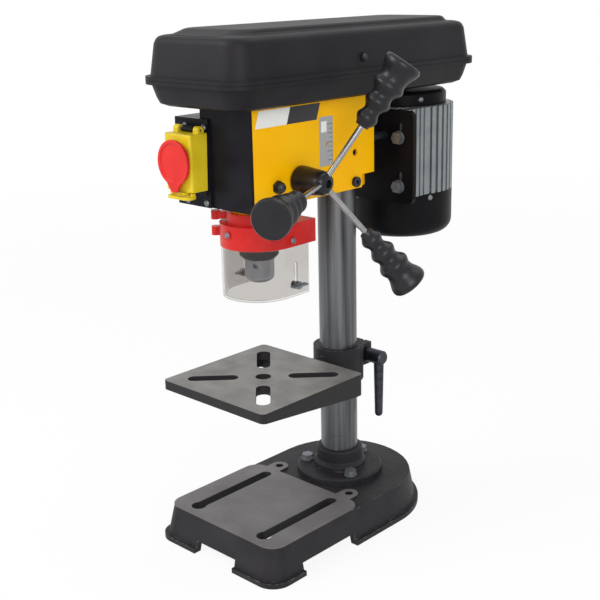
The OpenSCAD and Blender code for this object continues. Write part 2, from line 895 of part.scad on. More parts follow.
// Black front panel with the switch box at its left
module front_panel() {
    opening = [cover_w / 2 - cover_wall - 3, cover_h / 2 - cover_wall - 5];
    color("#26262a") difference() {
        union() {
            block([-box_left, panel_y, panel_z], [head_half, -head_front, panel_top]);
            block([-head_half, panel_y, panel_z], [head_half, -head_front, head_top - part_gap]);
            block([-box_left, switch_y, panel_z], [cover_w / 2 + 1 - switch_x, panel_y, panel_top]);
            block([-switch_x - flap_lug_x, flap_axis_y, flap_axis_z - flap_lug_r],
                  [flap_lug_x - switch_x, switch_y + over, flap_axis_z + 4]);
            flap_place() rod_x(flap_lug_r, -flap_lug_x, flap_lug_x);
            difference() {
                block([-box_left, -head_front - over, panel_z],
                      [-head_half, box_d - head_front, panel_top]);
                block([-box_left + box_wall, -head_front - 2 * over, panel_z + box_wall],
                      [-head_half + over, box_d - head_front - box_wall, panel_top - box_wall]);
            }
        }
        block([-switch_x - opening[0], switch_y - over, cover_z - opening[1]],
              [opening[0] - switch_x, -head_front + over, cover_z + opening[1]]);
        panel_screw_places() rod_y(screw_r, -over, switch_pad_t + panel_t + over);
        flap_place() rod_x(flap_pin_r, -flap_lug_x - over, flap_lug_x + over);
        gland_place() lift(-over) cylinder(r = gland_r, h = box_wall + 2 * over);
    }
}

// Places of the panel screws, on the raised switch plate
module panel_screw_places() {
    for (x = [-panel_screw_x, panel_screw_x]) {
        for (z = [cover_z - cover_h / 2 - 5, cover_z + cover_h / 2 + 2 * screw_r + 1]) {
            translate([x - switch_x, switch_y, z]) children();
        }
    }
}

// Screws that hold the front panel
module panel_screws() {
    color("#c0c4c8") panel_screw_places() {
        rod_y(screw_r, -over, switch_pad_t + panel_t - over);
        rotate([90, 0, 0]) cylinder(r1 = screw_r * 1.9, r2 = screw_r * 1.2, h = 1.6);
    }
}

// Place of the cable inlet, on the back of the switch box
module gland_place() {
    translate([-(box_left + head_half) / 2, box_d - head_front, cover_z + gland_up])
        rotate([90, 0, 0]) children();
}

// Cable inlet gland, open for the mains lead
module cable_gland() {
    color("#202022") gland_place() difference() {
        union() {
            cylinder(r = gland_r, h = box_wall + 3);
            lift(-gland_nut) hex_bar(3 * gland_r - 1, gland_nut);
            lift(-gland_nut - gland_cap)
                cylinder(r1 = gland_r, r2 = gland_r + 2, h = gland_cap);
        }
        lift(-gland_nut - gland_cap - over)
            cylinder(r = gland_bore_r, h = gland_nut + gland_cap + box_wall + 5);
    }
}

// Place of the pin of the switch cover
module flap_place() {
    translate([-switch_x, flap_axis_y, flap_axis_z]) children();
}

// Push button or its well, larger by a clearance
module button_block(z, clear, ahead, behind) {
    half = button_w / 2 + clear;
    block([-switch_x - half, switch_y - ahead, z - half], [half - switch_x, switch_y + behind, z + half]);
}

// Switch body with its button wells
module switch_body() {
    opening = [cover_w / 2 - cover_wall - 3, cover_h / 2 - cover_wall - 5];
    bezel = [cover_w / 2 - cover_wall - 0.8, cover_h / 2 - cover_wall - 0.8];
    back = box_d - head_front - box_wall - 4;
    color("#1d1d20") difference() {
        union() {
            block([-switch_x - opening[0], switch_y, cover_z - opening[1]],
                  [opening[0] - switch_x, back, cover_z + opening[1]]);
            block([-switch_x - bezel[0], switch_y - 2, cover_z - bezel[1]],
                  [bezel[0] - switch_x, switch_y, cover_z + bezel[1] - bezel_drop]);
        }
        for (z = [-button_up, button_up]) {
            button_block(cover_z + z, part_gap, 3, button_half_l + button_travel + part_gap);
        }
    }
}

// Yellow switch cover, a hollow flap with two hinge ears
module switch_cover() {
    half = cover_w / 2;
    bottom = cover_z - cover_h / 2;
    top = cover_z + cover_h / 2;
    color("#e0c420") difference() {
        union() {
            difference() {
                block([-switch_x - half, switch_y - cover_d, bottom],
                      [half - switch_x, switch_y - part_gap, top]);
                block([cover_wall - switch_x - half, switch_y - cover_d + cover_wall, bottom + cover_wall],
                      [half - switch_x - cover_wall, switch_y, top - cover_wall]);
            }
            for (s = [-1, 1]) {
                translate([s * (half - 5) - switch_x, flap_axis_y, flap_axis_z]) {
                    rod_x(4.5, -4, 4);
                    block([-4, -4.5, -5], [4, 4.5, 0]);
                }
            }
            block([-switch_x - flap_catch_x, switch_y - cover_d - 3, bottom - 2],
                  [flap_catch_x - switch_x, switch_y - 6, bottom]);
        }
        flap_place() rod_x(flap_pin_r + run_gap, -half, half);
    }
}

// Pin that the switch cover turns on
module switch_hinge_pin() {
    color("#8d9296") flap_place() rod_x(flap_pin_r, 1 - cover_w / 2, cover_w / 2 - 1);
}

// Red stop pad with a raised rim and a tab at its foot
module stop_pad() {
    face = switch_y - cover_d;
    color("#e8352f") translate([-switch_x, 0, cover_z + 6]) difference() {
        union() {
            rod_y(stop_r, face - stop_t, face - stop_t + 4);
            rod_y(stop_r - 6, face - stop_t + 3, face);
            translate([0, face - stop_t + 4, 0]) rotate([90, 0, 0]) linear_extrude(4) hull() {
                circle(stop_r - 3);
                translate([0, -stop_r - 1]) circle(7);
            }
        }
        rod_y(stop_r - 4, face - stop_t - over, face - stop_t + 1.5);
    }
}

// Green start button
module start_button() {
    color("#2f9e44") button_block(cover_z + button_up, 0, button_half_l, button_half_l);
}

// Red stop button behind the cover
module stop_button() {
    color("#c92a2a") button_block(cover_z - button_up, 0, button_half_l, button_half_l);
}

// Tooth gap of the rack, open to the pinion
module rack_gap() {
    half = rack_pitch / 4 + 0.15;
    lean = tan(20);
    root = tooth_m * 1.25;
    polygon([
        [-root, -half + root * lean],
        [tooth_m + over, -half - (tooth_m + over) * lean],
        [tooth_m + over, half + (tooth_m + over) * lean],
        [-root, half - root * lean]
    ]);
}

// Quill sleeve with its rack at the rear
module quill() {
    color("#9aa0a4") difference() {
        at_spindle(quill_z) difference() {
            cylinder(r = quill_r, h = quill_l);
            lift(-over) cylinder(r = spindle_r + 2, h = quill_l + 2 * over);
            for (z = [-over, quill_l - quill_bearing_w]) {
                lift(z) cylinder(r = quill_bearing_r, h = quill_bearing_w + over);
            }
        }
        for (i = [-2 : stroke_teeth + 1]) {
            translate([-pinion_w / 2 - 1, rack_line - throat, feed_z + i * rack_pitch])
                rotate([90, 0, 90]) linear_extrude(pinion_w + 2) rack_gap();
        }
    }
}

// Ball bearing ring with grooved faces, seated at the origin
module bearing(r_in, r_out, w) {
    mid = (r_in + r_out) / 2;
    land = (r_out - r_in) * 0.18;
    rotate_extrude() polygon([
        [r_in, 0],
        [mid - land, 0],
        [mid - land, 0.8],
        [mid + land, 0.8],
        [mid + land, 0],
        [r_out, 0],
        [r_out, w],
        [mid + land, w],
        [mid + land, w - 0.8],
        [mid - land, w - 0.8],
        [mid - land, w],
        [r_in, w]
    ]);
}

// Bearings at both ends of the quill
module quill_bearings() {
    color("#b6babd") for (z = [quill_z, quill_top - quill_bearing_w]) {
        at_spindle(z) bearing(spindle_r + run_gap, quill_bearing_r, quill_bearing_w);
    }
}

// Spindle with its chuck seat, thrust collar and lock nut
module spindle() {
    tail_top = pulley_z + pulley_steps * pulley_pitch - 3;
    color("#a8adb1") at_spindle(0) rotate_extrude() polygon([
        [0, ring_z],
        [spline_r, ring_z],
        [spline_r, quill_z - 2],
        [spindle_r + 2, quill_z - 2],
        [spindle_r + 2, quill_z - part_gap],
        [spindle_r, quill_z - part_gap],
        [spindle_r, quill_top + part_gap],
        [quill_bearing_r - 3, quill_top + part_gap],
        [quill_bearing_r - 3, quill_top + lock_nut_h],
        [spline_r, quill_top + lock_nut_h],
        [spline_r, tail_top - 1],
        [spline_r - 1, tail_top],
        [0, tail_top]
    ]);
}

// Line of the jaw's back, from the chuck face up
function jaw_line(z) = jaw_back + z * tan(jaw_lean);

// Slot of one jaw, from the chuck face
module jaw_slot_plan() {
    polygon([
        [0, -over],
        [jaw_line(-over), -over],
        [jaw_line(jaw_l + 1.5), jaw_l + 1.5],
        [0, jaw_l + 1.5]
    ]);
}

// Chuck body with the drill throat and three jaw slots
module chuck_body() {
    color("#5d6066") at_spindle(0) difference() {
        union() {
            lift(chuck_z) rotate_extrude() polygon([
                [0, 0],
                [chuck_r - 5, 0],
                [chuck_r - 1.5, 2.5],
                [chuck_r, 6],
                [chuck_r, chuck_l],
                [0, chuck_l]
            ]);
            lift(ring_z) cylinder(r = core_r, h = ring_h);
            lift(ring_z + ring_h) cylinder(r = core_r + 4, h = quill_z - 2 - ring_z - ring_h);
        }
        lift(ring_z) cylinder(r = spline_r, h = quill_z - ring_z);
        lift(chuck_z - over) cylinder(r = grip_r + 0.6, h = chuck_l - 4 + over);
        for (a = [0, 120, 240]) {
            rotate(a) translate([0, jaw_w / 2 + run_gap, chuck_z]) rotate([90, 0, 0])
                linear_extrude(jaw_w + 2 * run_gap) jaw_slot_plan();
            rotate(a + 60) lift(ring_z - 6) rod_x(3, grip_r + 3, chuck_r + over);
        }
    }
}

// Toothed key ring that opens and closes the chuck
module chuck_ring() {
    low = ring_z + part_gap;
    high = ring_z + ring_h - part_gap;
    color("#4a4d53") at_spindle(0) difference() {
        rotate_extrude() polygon([
            [core_r + run_gap, low],
            [ring_r - 4, low],
            [ring_r, low + 4],
            [ring_r, high - 1],
            [ring_r - 1, high],
            [core_r + run_gap, high]
        ]);
        for (i = [0 : ring_teeth - 1]) {
            rotate(i * 360 / ring_teeth) translate([ring_r - 2, 0, low])
                rotate([0, -45, 0]) cube([3, 2 * PI * ring_r / ring_teeth * 0.4, 12], center = true);
        }
    }
}

// One chuck jaw, open, turned to its place
module chuck_jaw(turn) {
    low = 1;
    color("#7b7f85") at_spindle(chuck_z) rotate(turn) difference() {
        translate([0, jaw_w / 2, 0]) rotate([90, 0, 0]) linear_extrude(jaw_w) polygon([
            [grip_r - 2, low],
            [jaw_line(low) - run_gap, low],
            [jaw_line(low + jaw_l) - run_gap, low + jaw_l],
            [grip_r - 2, low + jaw_l]
        ]);
        lift(-over) cylinder(r = grip_r, h = jaw_l + 3);
    }
}

// Jaw at the right
module chuck_jaw_1() {
    chuck_jaw(0);
}

// Jaw at the left rear
module chuck_jaw_2() {
    chuck_jaw(120);
}

// Jaw at the left front
module chuck_jaw_3() {
    chuck_jaw(240);
}

// Sleeve that turns the spindle and lets it slide
module drive_sleeve() {
    sleeve_top = pulley_z + pulley_steps * pulley_pitch + 1;
    color("#a8adb1") at_spindle(seat_z - 2) difference() {
        cylinder(r = sleeve_r, h = sleeve_top - seat_z + 2);
        lift(-over) cylinder(r = spline_r + run_gap, h = sleeve_top - seat_z + 2 + 2 * over);
    }
}

// Bearings of the drive sleeve in the top of the head
module sleeve_bearings() {
    color("#b6babd") for (i = [0, 1]) {
        at_spindle(seat_z + i * (sleeve_bearing_w + part_gap))
            bearing(sleeve_r + run_gap, sleeve_bearing_r, sleeve_bearing_w);
    }
}

// Half section of a stepped pulley, from its bore
function pulley_points(bore, radii) = concat(
    [[bore, 0]],
    [for (i = [0 : pulley_steps - 1]) for (p = [
        [0, 0],
        [0, 1],
        [-belt_h - 1.5, pulley_pitch / 2 - 2.2],
        [-belt_h - 1.5, pulley_pitch / 2 + 2.2],
        [0, pulley_pitch - 1],
        [0, pulley_pitch]
    ]) [radii[i] + p[0], i * pulley_pitch + p[1]]],
    [[bore, pulley_steps * pulley_pitch]]
);

// Stepped pulley on the drive sleeve
module spindle_pulley() {
    radii = [for (i = [0 : pulley_steps - 1]) spindle_step_r(i)];
    color("#b9bcbe") at_spindle(pulley_z) rotate_extrude()
        polygon(pulley_points(sleeve_r, radii));
}

// Stepped pulley on the motor shaft
module motor_pulley() {
    radii = [for (i = [0 : pulley_steps - 1]) motor_step_r(i)];
    color("#b9bcbe") translate([0, motor_y, pulley_z]) rotate_extrude()
        polygon(pulley_points(motor_shaft_r, radii));
}

// Section of the belt where it runs on a pulley of this radius
module belt_section(r) {
    flank = (pulley_pitch / 2 - 3.2) / (belt_h + 1.5);
    back = r - 0.5;
    polygon([
        [back, -belt_w / 2],
        [back, belt_w / 2],
        [back - belt_h, belt_w / 2 - belt_h * flank],
        [back - belt_h, -belt_w / 2 + belt_h * flank]
    ]);
}

// Sector about the Y axis, with its half angle
module sector(half_angle) {
    reach = 4 * pulley_mid;
    fan = [for (k = [-2 : 2]) reach * [sin(k * half_angle / 2), cos(k * half_angle / 2)]];
    polygon(concat([[0, 0]], fan));
}

// Stretch of the belt round one pulley, on the side towards Y
module belt_arc(r, half_angle) {
    intersection() {
        rotate_extrude() belt_section(r);
        lift(-belt_w) linear_extrude(2 * belt_w) sector(half_angle);
    }
}

// V belt round the two pulleys
module drive_belt() {
    span = throat + motor_y;
    lean = asin((spindle_belt_r - motor_belt_r) / span);
    color("#1c1c1e") {
        at_spindle(belt_z) {
            mirror([0, 1, 0]) belt_arc(spindle_belt_r, 90 + lean);
            for (s = [0, 1]) {
                mirror([s, 0, 0]) rotate(lean) translate([0, span * cos(lean), 0]) rotate([90, 0, 0])
                    linear_extrude(span * cos(lean)) belt_section(spindle_belt_r);
            }
        }
        translate([0, motor_y, belt_z]) belt_arc(motor_belt_r, 90 - lean);
    }
}

// Outline of the belt case, drawn in by a distance from the rim
module case_plan(inset) {
    translate([-case_shift, 0]) round_rect(
        [-case_half + inset, -case_front + inset],
        [case_half - inset, case_rear - inset],
        case_corner - inset / 2);
}

// Thin slice of the case at a height
module case_slice(z, inset) {
    lift(z) linear_extrude(thin) case_plan(inset, $fn = hull_fn);
}

// Solid of the pan from its floor to its rim, drawn in by a wall
module pan_mass(inset, low, high) {
    hull() {
        case_slice(low, inset + pan_draw + pan_round);
        case_slice(low + 0.3 * pan_round, inset + pan_draw + 0.3 * pan_round);
        case_slice(low + pan_round, inset + pan_draw);
        case_slice(high - thin, inset);
    }
}

// Places of the two lid hinges along the left side
module hinge_places() {
    for (y = [-case_front * 0.55, case_rear * 0.5]) {
        translate([hinge_x, y, hinge_z]) children();
    }
}

// Lower pan of the belt case, on top of the head
module belt_case() {
    color("#323032") difference() {
        union() {
            difference() {
                union() {
                    pan_mass(0, head_top, rim_z);
                    lift(rim_z - rim_t) linear_extrude(rim_t) case_plan(-rim_out);
                }
                pan_mass(case_wall, head_top + case_wall, rim_z + over);
            }
            hinge_places() {
                rod_y(knuckle_r, 0, knuckle_l);
                block([0, 0, -knuckle_r], [knuckle_r + rim_out, knuckle_l, -part_gap / 2]);
            }
        }
        at_spindle(head_top - over) cylinder(r = sleeve_r + 3, h = case_wall + 2 * over);
        translate([0, motor_y - tension_travel, head_top - over]) rotate(90)
            linear_extrude(case_wall + 2 * over)
            slot_x(-motor_shaft_r - 3, tension_travel + motor_shaft_r + 3, 2 * (motor_shaft_r + 3));
        hinge_places() rod_y(hinge_pin_r, -over, knuckle_l + over);
    }
}

// Thin slice of the raised panel on the lid
module panel_slice(z, inset, front_inset) {
    translate([-case_shift, 0, z]) linear_extrude(thin) round_rect(
        [-case_half + inset, -case_front + front_inset],
        [case_half - inset, case_rear - inset],
        case_corner - lid_ledge, $fn = hull_fn);
}

// Solid of the lid from its rim to its raised panel, drawn in by a wall
module lid_mass(inset, low, high) {
    draw = lid_draw + inset;
    ledge_z = high - lid_step;
    ledge = draw + lid_shoulder + lid_ledge;
    hull() {
        case_slice(low, inset);
        case_slice(ledge_z - lid_shoulder, draw);
        case_slice(ledge_z - 0.3 * lid_shoulder, draw + 0.3 * lid_shoulder);
        case_slice(ledge_z - thin, draw + lid_shoulder);
    }
    hull() {
        panel_slice(ledge_z - 2 * thin, ledge, draw + lid_shoulder + 2);
        panel_slice(high - thin, ledge + lid_step / 2, draw + lid_shoulder + lid_slope);
    }
}

// Place of the lid screw on the right side
module lid_screw_place() {
    translate([case_half - case_shift, -lid_screw_y, lid_z + lid_screw_up]) children();
}

// Lid of the belt case, hinged at the left
module belt_lid() {
    color("#323032") difference() {
        union() {
            difference() {
                union() {
                    lid_mass(0, lid_z, lid_top);
                    lift(lid_z) linear_extrude(rim_t) case_plan(-rim_out);
                    lid_screw_place() rod_x(2.5 * screw_r, -case_wall - lid_draw, 0);
                }
                lid_mass(case_wall, lid_z - over, lid_top - case_wall);
            }
            hinge_places() translate([0, knuckle_l + part_gap, 0]) {
                rod_y(knuckle_r, 0, knuckle_l);
                block([0, 0, part_gap / 2], [knuckle_r + rim_out, knuckle_l, knuckle_r]);
            }
        }
        hinge_places() rod_y(hinge_pin_r + run_gap, knuckle_l, 2 * (knuckle_l + over));
        lid_screw_place() rod_x(screw_r, -4 * case_wall, over);
    }
}

// Hinge pins of the lid
module lid_hinge_pins() {
    color("#8d9296") hinge_places() rod_y(hinge_pin_r, 0, 2 * knuckle_l);
}

// Screw in the side of the lid
module lid_screw() {
    color("#5a5b60") lid_screw_place() {
        rod_x(screw_r, -2 * case_wall, over);
        rotate([0, 90, 0]) cylinder(r1 = 2 * screw_r, r2 = 1.4 * screw_r, h = 2);
    }
}

// Half widths and heights of a pinion tooth, in modules
pinion_tooth = [[-0.6, -1.4], [-0.6, 0], [-0.2, 1], [0.2, 1], [0.6, 0], [0.6, -1.4]];

// Outline of the feed pinion, with one tooth towards the rack
function pinion_points() = [
    for (i = [0 : pinion_teeth - 1]) for (p = pinion_tooth)
        let (r = pinion_r + p[1] * tooth_m)
        let (a = 180 + i * 360 / pinion_teeth + p[0] * tooth_m * 180 / (PI * r))
        [r * cos(a), r * sin(a)]
];

// Feed shaft with its pinion
module feed_shaft() {
    neck = sqrt(pow(quill_r, 2) - pow(rack_line + pinion_r - feed_r - 1, 2));
    color("#8f9498") translate([0, feed_y, feed_z]) {
        translate([-pinion_w / 2, 0, 0]) rotate([90, 0, 90]) linear_extrude(pinion_w)
            polygon(pinion_points());
        rod_x(feed_end_r, pinion_w / 2, neck + over);
        rod_x(feed_r, neck, head_half);
        rod_x(feed_end_r, head_half - over, feed_end_x);
        rod_x(feed_end_r, -head_half - spring_cup_d + 4, -pinion_w / 2);
    }
}

// Places of the three feed rods, each along Z from the hub axis
module rod_places() {
    for (k = [0 : 2]) {
        translate([rod_root_x, feed_y, feed_z]) rotate([-rod_phase - 120 * k, 0, 0])
            rotate([0, rod_lean, 0]) children();
    }
}

// Tapered feed hub
module feed_hub() {
    color("#1f2024") difference() {
        translate([head_half + part_gap, feed_y, feed_z]) rotate([0, 90, 0]) rotate_extrude() polygon([
            [0, 0],
            [hub_r - 1.5, 0],
            [hub_r, 2],
            [hub_r, 8],
            [hub_end_r + 0.5, hub_l - 5],
            [hub_end_r - 2, hub_l - 1],
            [hub_end_r - 5, hub_l],
            [0, hub_l]
        ]);
        translate([0, feed_y, feed_z]) rod_x(feed_end_r, head_half - over, feed_end_x);
        rod_places() lift(rod_start) cylinder(r = rod_r, h = 3 * hub_r);
    }
}

// Three plated feed rods
module feed_rods() {
    color("#c4c7ca") rod_places() lift(rod_start)
        cylinder(r = rod_r, h = feed_reach - rod_start - grip_cap);
}

// Radius of a grip along its length: three beads, then a bell
function bead_r(u) = 7.5 + 4.5 * u + 4 * u * u + 1.85 * (1 - cos(3 * 360 * u));
function grip_r(t) = t < waist
    ? bead_r(t / waist)
    : (bead_r(1) + grip_end_r - (grip_end_r - bead_r(1)) * cos((t - waist) / (1 - waist) * 180)) / 2;

// Three beaded grips with flared ends
module feed_grips() {
    rings = 28;
    color("#3a3b40") rod_places() lift(feed_reach - grip_l) difference() {
        rotate_extrude() polygon(concat(
            [[0, 0]],
            [for (i = [0 : rings]) [grip_r(i / rings), i / rings * (grip_l - 4)]],
            [[grip_end_r - 3, grip_l], [0, grip_l]]
        ));
        lift(-over) cylinder(r = rod_r, h = grip_l - grip_cap + over);
    }
}

// Radius of the return spring's band along its turns
function spring_r(t) = feed_end_r + 1.5 + t * (spring_cup_r - 3.5 - feed_end_r - 1.5 - 0.7);

// Flat spiral spring that lifts the quill
module return_spring() {
    turns = 5;
    steps = 90;
    band = 0.6;
    path = [for (i = [0 : steps]) [spring_r(i / steps), i / steps * turns * 360]];
    inner = [for (p = path) p[0] * [cos(p[1]), sin(p[1])]];
    outer = [for (i = [steps : -1 : 0]) (path[i][0] + band) * [cos(path[i][1]), sin(path[i][1])]];
    color("#55585c") translate([4 - head_half - spring_cup_d + 2, feed_y, feed_z]) rotate([90, 0, 90])
        linear_extrude(spring_cup_d - 10) polygon(concat(inner, outer));
}

// Housing of the return spring on the left of the head
module spring_housing() {
    color("#232327") translate([-head_half, feed_y, feed_z]) difference() {
        union() {
            rod_x(spring_cup_r, -spring_cup_d, 0);
            translate([-spring_cup_d - 4, 0, 0]) rotate([0, 90, 0]) hex_bar(16, 4);
        }
        rod_x(spring_cup_r - 3, -spring_cup_d + 3, over);
    }
}

// Section of the finned motor frame and its two grooved feet
module motor_section() {
    difference() {
        circle(motor_r);
        for (i = [0 : fin_count - 1]) {
            rotate(i * 360 / fin_count) translate([motor_r - fin_d, -fin_gap / 2])
                square([fin_d + over, fin_gap]);
        }
    }
    for (s = [-1, 1]) {
        translate([s * motor_bolt_gap / 2, -motor_r]) difference() {
            translate([-motor_foot_w / 2, 0]) square([motor_foot_w, motor_foot_d]);
            for (i = [1 : 4]) {
                translate([s * motor_foot_w / 2, i * foot_groove[2]])
                    square([foot_groove[0], foot_groove[1]], center = true);
            }
        }
    }
}

// Finned aluminium motor frame, closed below
module motor_frame() {
    bore = motor_r - fin_d - motor_wall;
    color("#868b8e") translate([0, motor_y, 0]) difference() {
        lift(frame_z) linear_extrude(frame_l) motor_section();
        lift(frame_z + motor_floor) cylinder(r = bore, h = frame_l);
        lift(frame_z - over) cylinder(r = motor_bearing_r, h = motor_floor + 2 * over);
        motor_bolt_places() rod_y(bolt_r, 0, motor_bolt_in + 2);
    }
}

// Places of the four motor bolts, from the motor axis
module motor_bolt_places() {
    for (x = [-motor_bolt_gap / 2, motor_bolt_gap / 2]) {
        for (z = [-motor_bolt_rise / 2, motor_bolt_rise / 2]) {
            translate([x, -motor_r, motor_bolt_z + z]) children();
        }
    }
}

// Upper end bell of the motor
module motor_end_bell() {
    color("#1c1a1e") translate([0, motor_y, bell_z]) difference() {
        rotate_extrude() polygon([
            [motor_bearing_r, 0],
            [bell_r, 0],
            [bell_r, bell_h - 4],
            [bell_r - 4, bell_h],
            [motor_shaft_r + 2, bell_h],
            [motor_shaft_r + 2, bell_h - 3],
            [motor_bearing_r, bell_h - 3]
        ]);
    }
}

// Fan cover with a rounded edge and air slots below
module fan_cover() {
    arc = [for (a = [-90 : 15 : 0]) [cos(a), sin(a)]];
    mid = [motor_r - fan_round, fan_round];
    outer = [for (p = arc) mid + fan_round * p];
    inner = [for (p = arc) mid + (fan_round - 3) * p];
    inner_back = [for (i = [len(inner) - 1 : -1 : 0]) inner[i]];
    color("#1c1a1e") translate([0, motor_y, fan_cover_z]) difference() {
        rotate_extrude() polygon(concat(
            [[0, 0]],
            outer,
            [[motor_r, fan_cover_h], [motor_r - 3, fan_cover_h]],
            inner_back,
            [[0, 3]]
        ));
        for (i = [0 : 11]) {
            rotate(i * 30) lift(-over) linear_extrude(5)
                slot_x(20, motor_r - fan_round - 2, 5);
        }
    }
}

// Motor shaft with its rotor core
module motor_rotor() {
    shaft_z = fan_cover_z + 10;
    shaft_top = pulley_z + pulley_steps * pulley_pitch - 1;
    color("#8f9498") translate([0, motor_y, 0]) {
        lift(shaft_z) cylinder(r = motor_shaft_r, h = shaft_top - shaft_z);
        lift(core_z) cylinder(r = rotor_r, h = core_l);
    }
}

// Wound stator in the motor frame
module motor_stator() {
    color("#a8622c") translate([0, motor_y, core_z]) difference() {
        cylinder(r = motor_r - fin_d - motor_wall, h = core_l - 2);
        lift(-over) cylinder(r = rotor_r + part_gap, h = frame_l);
    }
}

// Bearings at both ends of the motor shaft
module motor_bearings() {
    color("#b6babd") translate([0, motor_y, 0]) {
        lift(frame_z) bearing(motor_shaft_r + run_gap, motor_bearing_r, motor_floor);
        lift(bell_z) bearing(motor_shaft_r + run_gap, motor_bearing_r, bell_h - 3);
    }
}

// Cooling fan under the motor
module cooling_fan() {
    fan_z = fan_cover_z + 12;
    color("#3a3a3d") translate([0, motor_y, fan_z]) difference() {
        union() {
            cylinder(r = fan_hub_r, h = fan_h);
            cylinder(r = fan_r - 4, h = 2);
            for (i = [0 : 7]) {
                rotate(i * 45) translate([fan_hub_r - 4, -fan_blade_t / 2, 0])
                    cube([fan_r - fan_hub_r + 4, fan_blade_t, fan_h]);
            }
        }
        lift(-over) cylinder(r = motor_shaft_r, h = fan_h + 2 * over);
    }
}

// Steel plate that carries the motor on the slide bars
module motor_plate() {
    slot_l = 2 * bolt_r + motor_slot;
    color("#1d1c20") translate([0, plate_y + plate_t, 0]) rotate([90, 0, 0])
    linear_extrude(plate_t) difference() {
        round_rect([-plate_w / 2, plate_z], [plate_w / 2, plate_z + plate_h], 8);
        for (x = [-motor_bolt_gap / 2, motor_bolt_gap / 2]) {
            for (z = [-motor_bolt_rise / 2, motor_bolt_rise / 2]) {
                translate([x, motor_bolt_z + z - bolt_r]) rotate(90) slot_x(0, slot_l, 2 * bolt_r);
            }
        }
        for (x = [-bar_x, bar_x]) {
            translate([x, bar_z]) circle(bar_r);
        }
    }
}

// Bolts that hold the motor on its plate
module motor_bolts() {
    color("#9aa0a4") translate([0, motor_y - plate_t, 0]) motor_bolt_places()
        rotate([90, 0, 0]) hex_bolt(plate_t + motor_bolt_in);
}

// Slide bars of the motor, in the rear of the head
module slide_bars() {
    color("#9aa0a4") for (x = [-bar_x, bar_x]) {
        translate([x, 0, bar_z]) rod_y(bar_r, bar_y, plate_y + plate_t);
    }
}

// Outline of the guard, round in front with straight arms behind
module guard_plan(r, tail) {
    intersection() {
        circle(r);
        translate([-r, -r]) square([2 * r, r]);
    }
    translate([-r, 0]) square([2 * r, tail]);
}

// Open wall that follows the guard's outline
module guard_wall(r, t, h, tail) {
    linear_extrude(h) difference() {
        guard_plan(r, tail);
        guard_plan(r - t, tail + over);
    }
}

// Places of the guard screws, outside the band
module guard_screw_places() {
    for (place = [[-95, 0, 16], [0, 10, 7], [180, 10, 7]]) {
        translate([0, place[1] - throat, band_z + place[2]]) rotate(place[0])
            translate([band_r + 1, 0, 0]) children();
    }
}

// Red guard bracket that turns on the quill nose
module guard_bracket() {
    lug_r = 5;
    lug_out = band_r + 5;
    lugs = [[nose_r + guard_ring - 2, clamp_top - 11], [band_r - band_t / 2, band_z + 9]];
    color("#c8201c") difference() {
        union() {
            at_spindle(band_z) guard_wall(band_r, band_t, band_h, arm_l);
            at_spindle(band_top - roof_t) linear_extrude(roof_t) guard_plan(band_r, arm_l);
            at_spindle(band_top - over) cylinder(r = nose_r + guard_ring, h = clamp_h + over);
            guard_screw_places() rod_x(5, -band_t - 1, 0);
            at_spindle(0) rotate(lug_turn) for (lug = lugs) {
                translate([lug_out, 0, lug[1]]) cylinder(r = lug_r, h = 10);
                block([lug[0], -lug_r + 1, lug[1] + 1], [lug_out, lug_r - 1, lug[1] + 9]);
            }
        }
        at_spindle(band_top - 2 * roof_t)
            cylinder(r = nose_r + run_gap, h = clamp_h + 3 * roof_t);
        guard_screw_places() rod_x(screw_r, -2 * band_t, over);
        at_spindle(band_z - over) linear_extrude(band_h - roof_t)
            guard_plan(sleeve_out, arm_l + over);
    }
}

// Screws that hold the clear sleeve in the band
module guard_screws() {
    color("#c0c4c8") guard_screw_places() {
        rod_x(screw_r, -band_t - clear_t - 2, over);
        rotate([0, 90, 0]) cylinder(r1 = 1.9 * screw_r, r2 = 1.3 * screw_r, h = 1.8);
    }
}

// Clear inner sleeve, fixed in the band
module guard_sleeve() {
    low = shield_z + 2;
    color([0.8, 0.82, 0.84, 0.4]) difference() {
        at_spindle(low)
            guard_wall(sleeve_out, clear_t, band_top - roof_t - part_gap - low, clear_arm);
        guard_screw_places() rod_x(screw_r, -4 * band_t, over);
        wing_places() rod_x(screw_r, -2 * clear_t, over);
    }
}

// Places of the wing nuts, outside the sleeve's arms
module wing_places() {
    for (a = [0, 180]) {
        translate([0, wing_y, wing_z]) rotate(a) translate([sleeve_out, 0, 0]) children();
    }
}

// Clear outer shield that slides down over the sleeve
module guard_shield() {
    slot_half = screw_r + part_gap;
    color([0.8, 0.82, 0.84, 0.4]) difference() {
        at_spindle(shield_z) guard_wall(shield_in + clear_t, clear_t, shield_h, clear_arm);
        wing_places() {
            rod_x(slot_half, -over, 2 * clear_t);
            lift(shield_travel) rod_x(slot_half, -over, 2 * clear_t);
            block([-over, -slot_half, 0], [2 * clear_t, slot_half, shield_travel]);
        }
    }
}

// Wing nuts on their screws
module wing_nuts() {
    nut_x = clear_t + 2 * part_gap;
    color("#8b8e92") wing_places() {
        rod_x(screw_r, -clear_t - over, nut_x + 8);
        rod_x(2 * screw_r, -clear_t - 2, -clear_t);
        rod_x(2.2 * screw_r, nut_x, nut_x + 5);
        block([nut_x + 1, -11, -1], [nut_x + 8, 11, 1]);
    }
}

